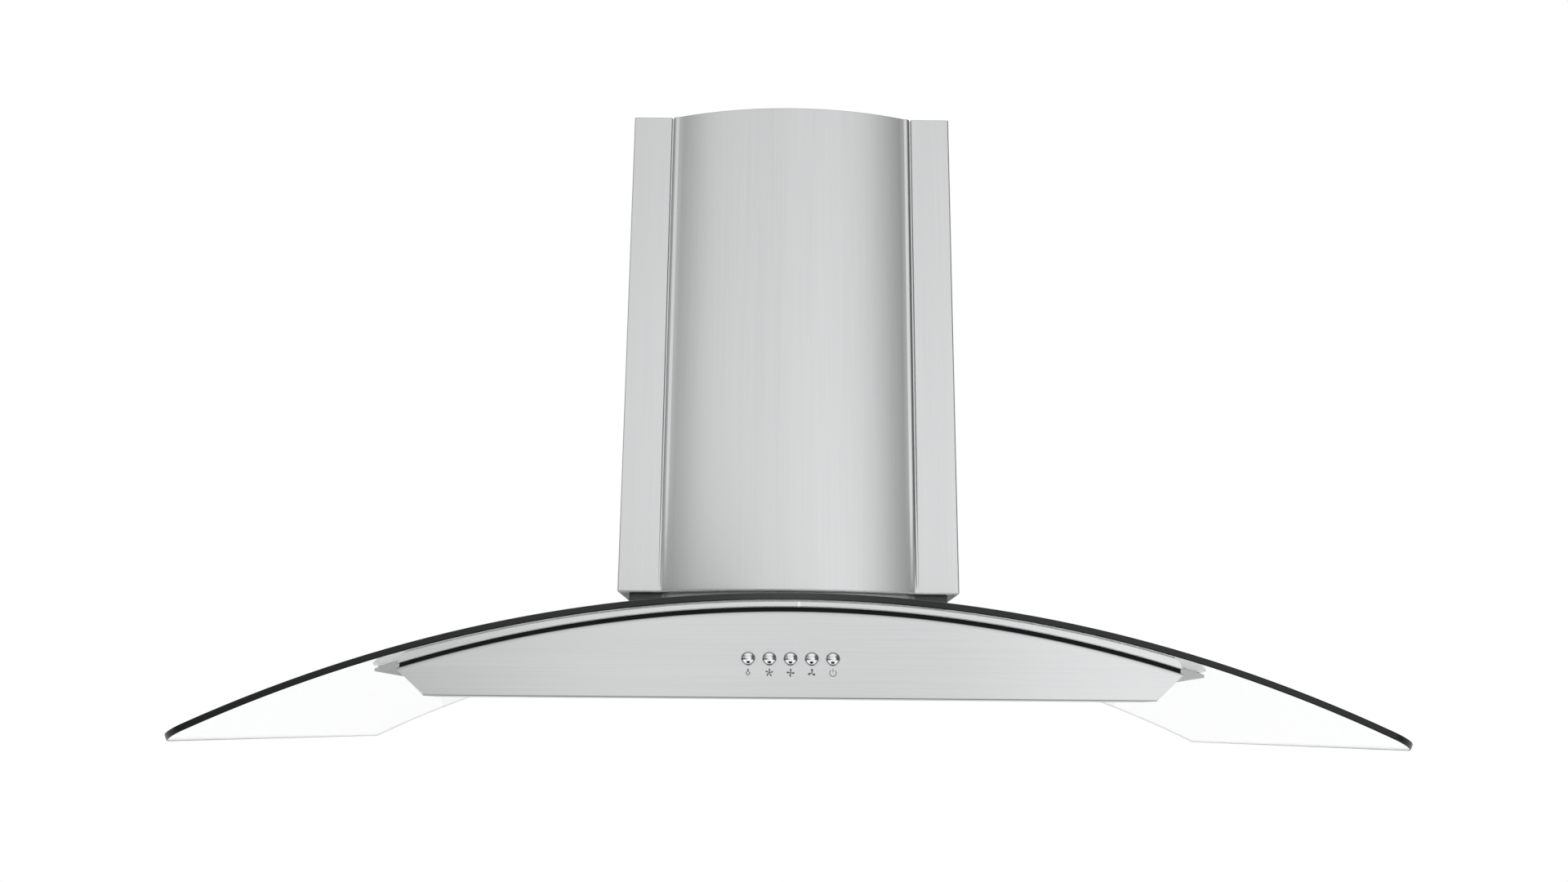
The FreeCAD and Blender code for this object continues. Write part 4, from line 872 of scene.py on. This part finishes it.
for label, count, width in (("fast", 5, 0.95), ("medium", 4, 1.15), ("slow", 3, 1.35)):
    for k in range(count):
        print_shape(button_xs[label], turned(blade(width), 360.0 * k / count))
    print_shape(button_xs[label], arc_points((0, 0), 0.5, 0, 360, 20)[:-1])
print_shape(button_xs["power"], arc_band(2.15, 2.65, 128.0, 412.0))
print_shape(button_xs["power"], [(-0.25, 0.5), (0.25, 0.5), (0.25, 3.1), (-0.25, 3.1)])
diamond = [(0.0, -2.4), (1.8, -0.4), (0.0, 1.5), (-1.8, -0.4)]
print_shape(button_xs["lamp"], diamond, [(px * 0.6, (pz + 0.4) * 0.6 - 0.4) for px, pz in diamond])
print_shape(button_xs["lamp"], [(-0.6, 1.4), (0.6, 1.4), (0.45, 2.5), (-0.45, 2.5)])
sign_ink = coarse_finish("sign_ink", (0.10, 0.10, 0.105), 0.5, 0.12, 900.0)
finish_piece("control_signs", gather(signs), [sign_ink], "hood", None, 20.0)
print("signs: printed from", len(signs), "films")

# %% [markdown]
# A grease filter is a frame round two layers of expanded aluminium. A press slits the
# foil and pulls it open into rows of diamonds, so the metal runs in zigzag strands that
# touch their neighbours at every bend. Each strand is drawn as a thin flat bar along its
# zigzag. The strands of the two layers run across each other.

# %% Filter meshes
mesh_low, mesh_high = (23.5, -362.5), (242.5, -75.5)
mesh_layers = ((-230.6, -229.8, "Y"), (-227.2, -226.4, "X"))
half_long, half_short, strand_width, strand_overlap = 5.0, 3.2, 0.85, 0.12


def strand(start, along_x, count, out, bottom, top, side):
    """One zigzag bar. out is +1 or -1: the side to which its first bend goes."""
    rows = []
    for k in range(count + 1):
        swing = out * (1 if k % 2 else -1) * (half_short / 2.0 - strand_width / 2.0 + strand_overlap)
        step = k * half_long
        x, y = (start[0] + step, start[1] + swing) if along_x else (start[0] + swing, start[1] + step)
        dx, dy = (0.0, strand_width / 2.0) if along_x else (strand_width / 2.0, 0.0)
        rows.append([(side * (x - dx), y - dy, bottom), (side * (x + dx), y + dy, bottom),
                     (side * (x + dx), y + dy, top), (side * (x - dx), y - dy, top)])
    return capped(rows)


def filter_mesh(side):
    """Both layers of one filter. side is -1 on the left and +1 on the right."""
    bars = []
    width, length = mesh_high[0] - mesh_low[0], mesh_high[1] - mesh_low[1]
    for bottom, top, run in mesh_layers:
        along_x = run == "X"
        reach, across = (width, length) if along_x else (length, width)
        lines, count = int(across / half_short), int(reach / half_long)
        first = (reach - count * half_long) / 2.0
        edge = (across - (lines - 1) * half_short) / 2.0
        for line in range(lines):
            place = edge + line * half_short
            right, back = (first, place) if along_x else (place, first)
            start = (mesh_low[0] + right, mesh_low[1] + back)
            bars.append(strand(start, along_x, count, 1 if line % 2 else -1, bottom, top, side))
    return gather(bars)


mesh_foil = coarse_finish("aluminium_foil_strands", (0.62, 0.63, 0.64), 0.36, 0.14, 260.0, 1.0, 0.03)
for word, side in (("left", -1), ("right", 1)):
    node, both_layers = "filter_mesh_" + word, filter_mesh(side)
    finish_piece(node + "_strands", both_layers, [mesh_foil], "filter_" + word, [node], 20.0)
    print(node, len(both_layers[1]), "faces")

# %% [markdown]
# Two lamps light the hob. Each is a turned chrome bezel with a rounded flange, round a
# frosted lens that bulges a little where the light leaves it. The lens is slightly
# see-through milk glass: mostly white, with a soft scatter under its skin.

# %% Lamps
lamp_x, lamp_y, pan_floor = 190.0, -425.0, -233.0
bezel_radius, bezel_flange, bezel_round = 32.0, 1.4, 0.84
bezel_outline = [(22.5, 0.0), (22.5, -1.0), (22.7, -1.28), (23.1, -bezel_flange), (26.0, -bezel_flange),
                 (27.0, -1.25), (29.0, -1.25), (30.0, -bezel_flange),
                 (bezel_radius - bezel_round, -bezel_flange)]
bezel_outline += [(bezel_radius - inward, up - bezel_flange) for up, inward in quarter_round(bezel_round)[1:]]
bezel_outline += [(bezel_radius, 0.0), (26.5, 0.0), (26.5, 11.7), (26.2, 12.0), (24.8, 12.0), (24.5, 11.7),
                  (24.5, 0.0)]
bezel_outline.append(bezel_outline[0])
lens_outline = [(0.0, -0.7), (6.0, -0.66), (12.0, -0.53), (17.0, -0.36), (21.0, -0.14), (22.2, 0.0),
                (24.1, 0.0), (24.3, 0.2), (24.3, 2.3), (24.1, 2.5), (0.0, 2.5)]
milk_glass, tree, shader = paint("milk_glass")
haze = noise(tree, 240.0)
milk = ramp(tree, haze, [(0.3, (0.84, 0.85, 0.85)), (0.7, (0.88, 0.89, 0.89))])
feed(shader, {"Base Color": milk, "Roughness": spread(tree, haze, 0.26, 0.34),
              "Subsurface Weight": 0.25, "Subsurface Scale": 0.002})
bumps(shader, haze, 0.4, 0.02)
for word, side in (("left", -1), ("right", 1)):
    centre = (side * lamp_x, lamp_y, pan_floor)
    rim, lens = lathe(bezel_outline, centre, "Z", 72), lathe(lens_outline, centre, "Z", 72)
    finish_piece("lamp_rim_" + word, rim, [chrome], "hood", ["lamp_bezel_" + word], 50.0)
    finish_piece("lamp_glass_" + word, lens, [milk_glass], "hood", ["lamp_lens_" + word], 50.0)
print("lamps turned at x =", -lamp_x, "and", lamp_x)

# %% [markdown]
# The collar stands in the shadow between chimney and glass. Its flat sides are dark, and
# only under the bow does light from the front reach it, so its steel turns dark beyond
# the bow: a ramp over the distance from the middle of the hood does that.

# %% Collar
collar_steel, tree, shader = paint("collar_steel")
off_middle = math_node(tree, "ABSOLUTE", object_axes(tree)["X"])
stops = [(0.0, 0.40), (0.62, 0.60), (0.86, 0.66), (0.93, 0.10), (1.0, 0.08)]
outward = ramp(tree, math_node(tree, "MULTIPLY", off_middle, 8.0), stops)
grain = ramp(tree, noise(tree, 1.0, (700.0, 700.0, 9.0)), [(0.3, 0.94), (0.7, 1.0)])
feed(shader, {"Base Color": mix(tree, 1.0, outward, grain, "MULTIPLY"), "Metallic": 1.0, "Roughness": 0.38})
bumps(shader, noise(tree, 1.0, (900.0, 900.0, 7.0)), 0.3, 0.01)
print("collar steel ready, with", len(stops), "stops")

# %% [markdown]
# The front panel is a shallow tray: a face with five holes for the buttons, a small
# radius all round, and flanges that lead back to the body. It is drawn as the glass was,
# from one outline that can be moved inwards: filled for the face, and stacked in rows for
# the radius, the flanges, their rear edge and the inside.

# %% Front panel
panel_sheet, panel_round, panel_depth = 1.2, 0.8, 38.0
panel_half_wide, panel_half_bottom, panel_bottom = 284.0, 263.0, -245.5
seam_arc_centre, hole_in_panel = -1140.7, 4.25


def panel_outline(inset):
    """The panel seen from the front, moved inwards by an inset, as (x, z) points."""
    half, low_half = panel_half_wide - inset, panel_half_bottom - 1.25 * inset
    low = panel_bottom + inset
    arc = [(half * (k / 48.0 - 1.0)) for k in range(97)]
    path = [(x, seam_arc_centre - inset + math.sqrt(seam_edge_radius ** 2 - x * x)) for x in arc]
    path += run_points(path[-1], (low_half, low), 8.0) + [(low_half, low)]
    path += run_points((low_half, low), (-low_half, low), 12.0) + [(-low_half, low)]
    return path + run_points((-low_half, low), path[0], 8.0)


def panel_hole(x):
    """The hole for the button at x."""
    return arc_points((x, button_height), hole_in_panel, 0, 360, 32)[:-1]


def panel_face(inset, depth):
    """The filled outline with its five holes, at a depth behind the front."""
    loops = [panel_outline(inset)] + [panel_hole(x) for x in button_xs.values()]
    flat, faces = flat_fill(loops, (24.0, 12.0))
    return [(x, fascia_face + depth, z) for x, z in flat], faces


panel_path = [(inward, back) for back, inward in quarter_round(panel_round)]
panel_path += [(0.0, panel_depth), (panel_sheet, panel_depth), (panel_sheet, panel_sheet)]
flange_rows = [[(x, fascia_face + depth, z) for x, z in panel_outline(inset)] for inset, depth in panel_path]
hole_walls = []
for x in button_xs.values():
    rows = [[(px, fascia_face + depth, pz) for px, pz in panel_hole(x)] for depth in (0.0, panel_sheet)]
    hole_walls.append(band(rows))
panel_shape = gather([
    panel_face(panel_round, 0.0), panel_face(panel_sheet, panel_sheet), band(flange_rows)] + hole_walls)
print("front panel:", len(panel_shape[1]), "faces")

# %% [markdown]
# The panel is brushed from side to side. Two places on it are darker than the rest: the
# strip right below the seam, where the rubber shades it, and its lower edge, which turns
# away from the light. So the colour is multiplied by two ramps: one over the distance
# below the seam's arc, one over the height.

# %% Finish of the front panel
panel_steel = front_steel.copy()
panel_steel.name = "brushed_front_panel"
tree, shader = panel_steel.node_tree, main_shader(panel_steel)
place = object_axes(tree)
rise = math_node(tree, "SUBTRACT", place["Z"], seam_arc_centre * mm)
from_centre = math_node(tree, "SQRT", math_node(
    tree, "ADD", math_node(tree, "POWER", place["X"], 2.0), math_node(tree, "POWER", rise, 2.0)))
below_seam = math_node(tree, "SUBTRACT", seam_edge_radius * mm, from_centre)
seam_shade = ramp(tree, math_node(tree, "MULTIPLY", below_seam, 200.0),
                  [(0.0, 0.16), (0.1, 0.45), (0.25, 0.86), (0.6, 1.0)])
above_edge = math_node(tree, "MULTIPLY", math_node(tree, "SUBTRACT", place["Z"], panel_bottom * mm), 200.0)
edge_shade = ramp(tree, above_edge, [(0.0, 0.42), (0.12, 0.55), (0.24, 1.0)])
brushed = shader.inputs["Base Color"].links[0].from_socket
shaded = mix(tree, 1.0, mix(tree, 1.0, brushed, seam_shade, "MULTIPLY"), edge_shade, "MULTIPLY")
feed(shader, {"Base Color": shaded})
finish_piece("front_panel_tray", panel_shape, [panel_steel], "hood", ["fascia_panel"], 20.0)
print("front panel shaded below the seam and along its foot")

# %% [markdown]
# Every other solid keeps its shape and gets the finish that belongs to its slot in the
# model. Three differ: the two body sheets under the glass are a duller steel than the
# front, also painted darker as shade under the panel and glass, and the collar has its own.

# %% Finishes for the other solids
finish_of_slot = {
    "glass": clear_glass, "steel": front_steel, "dark_seam": seam_black, "steel_dark": dark_coat,
    "galvanised": galvanised, "fastener": zinc_plate, "chrome": chrome, "aluminium": bare_aluminium,
    "black_plastic": black_plastic, "white_plastic": white_plastic, "rubber": dark_rubber,
    "motor": motor_paint, "board": board_green, "lens": milk_glass, "silicone": pale_silicone,
}
finish_of_node = {"body_pan": shaded_body_steel, "body_top": shaded_body_steel, "chimney_collar": collar_steel}
for node, solid in nodes.items():
    slot_name = solid.data.materials[0].name.split(".")[0]
    for place in solid.material_slots:
        place.material = finish_of_node.get(node) or finish_of_slot[slot_name]
print("solids dressed:", len(nodes))
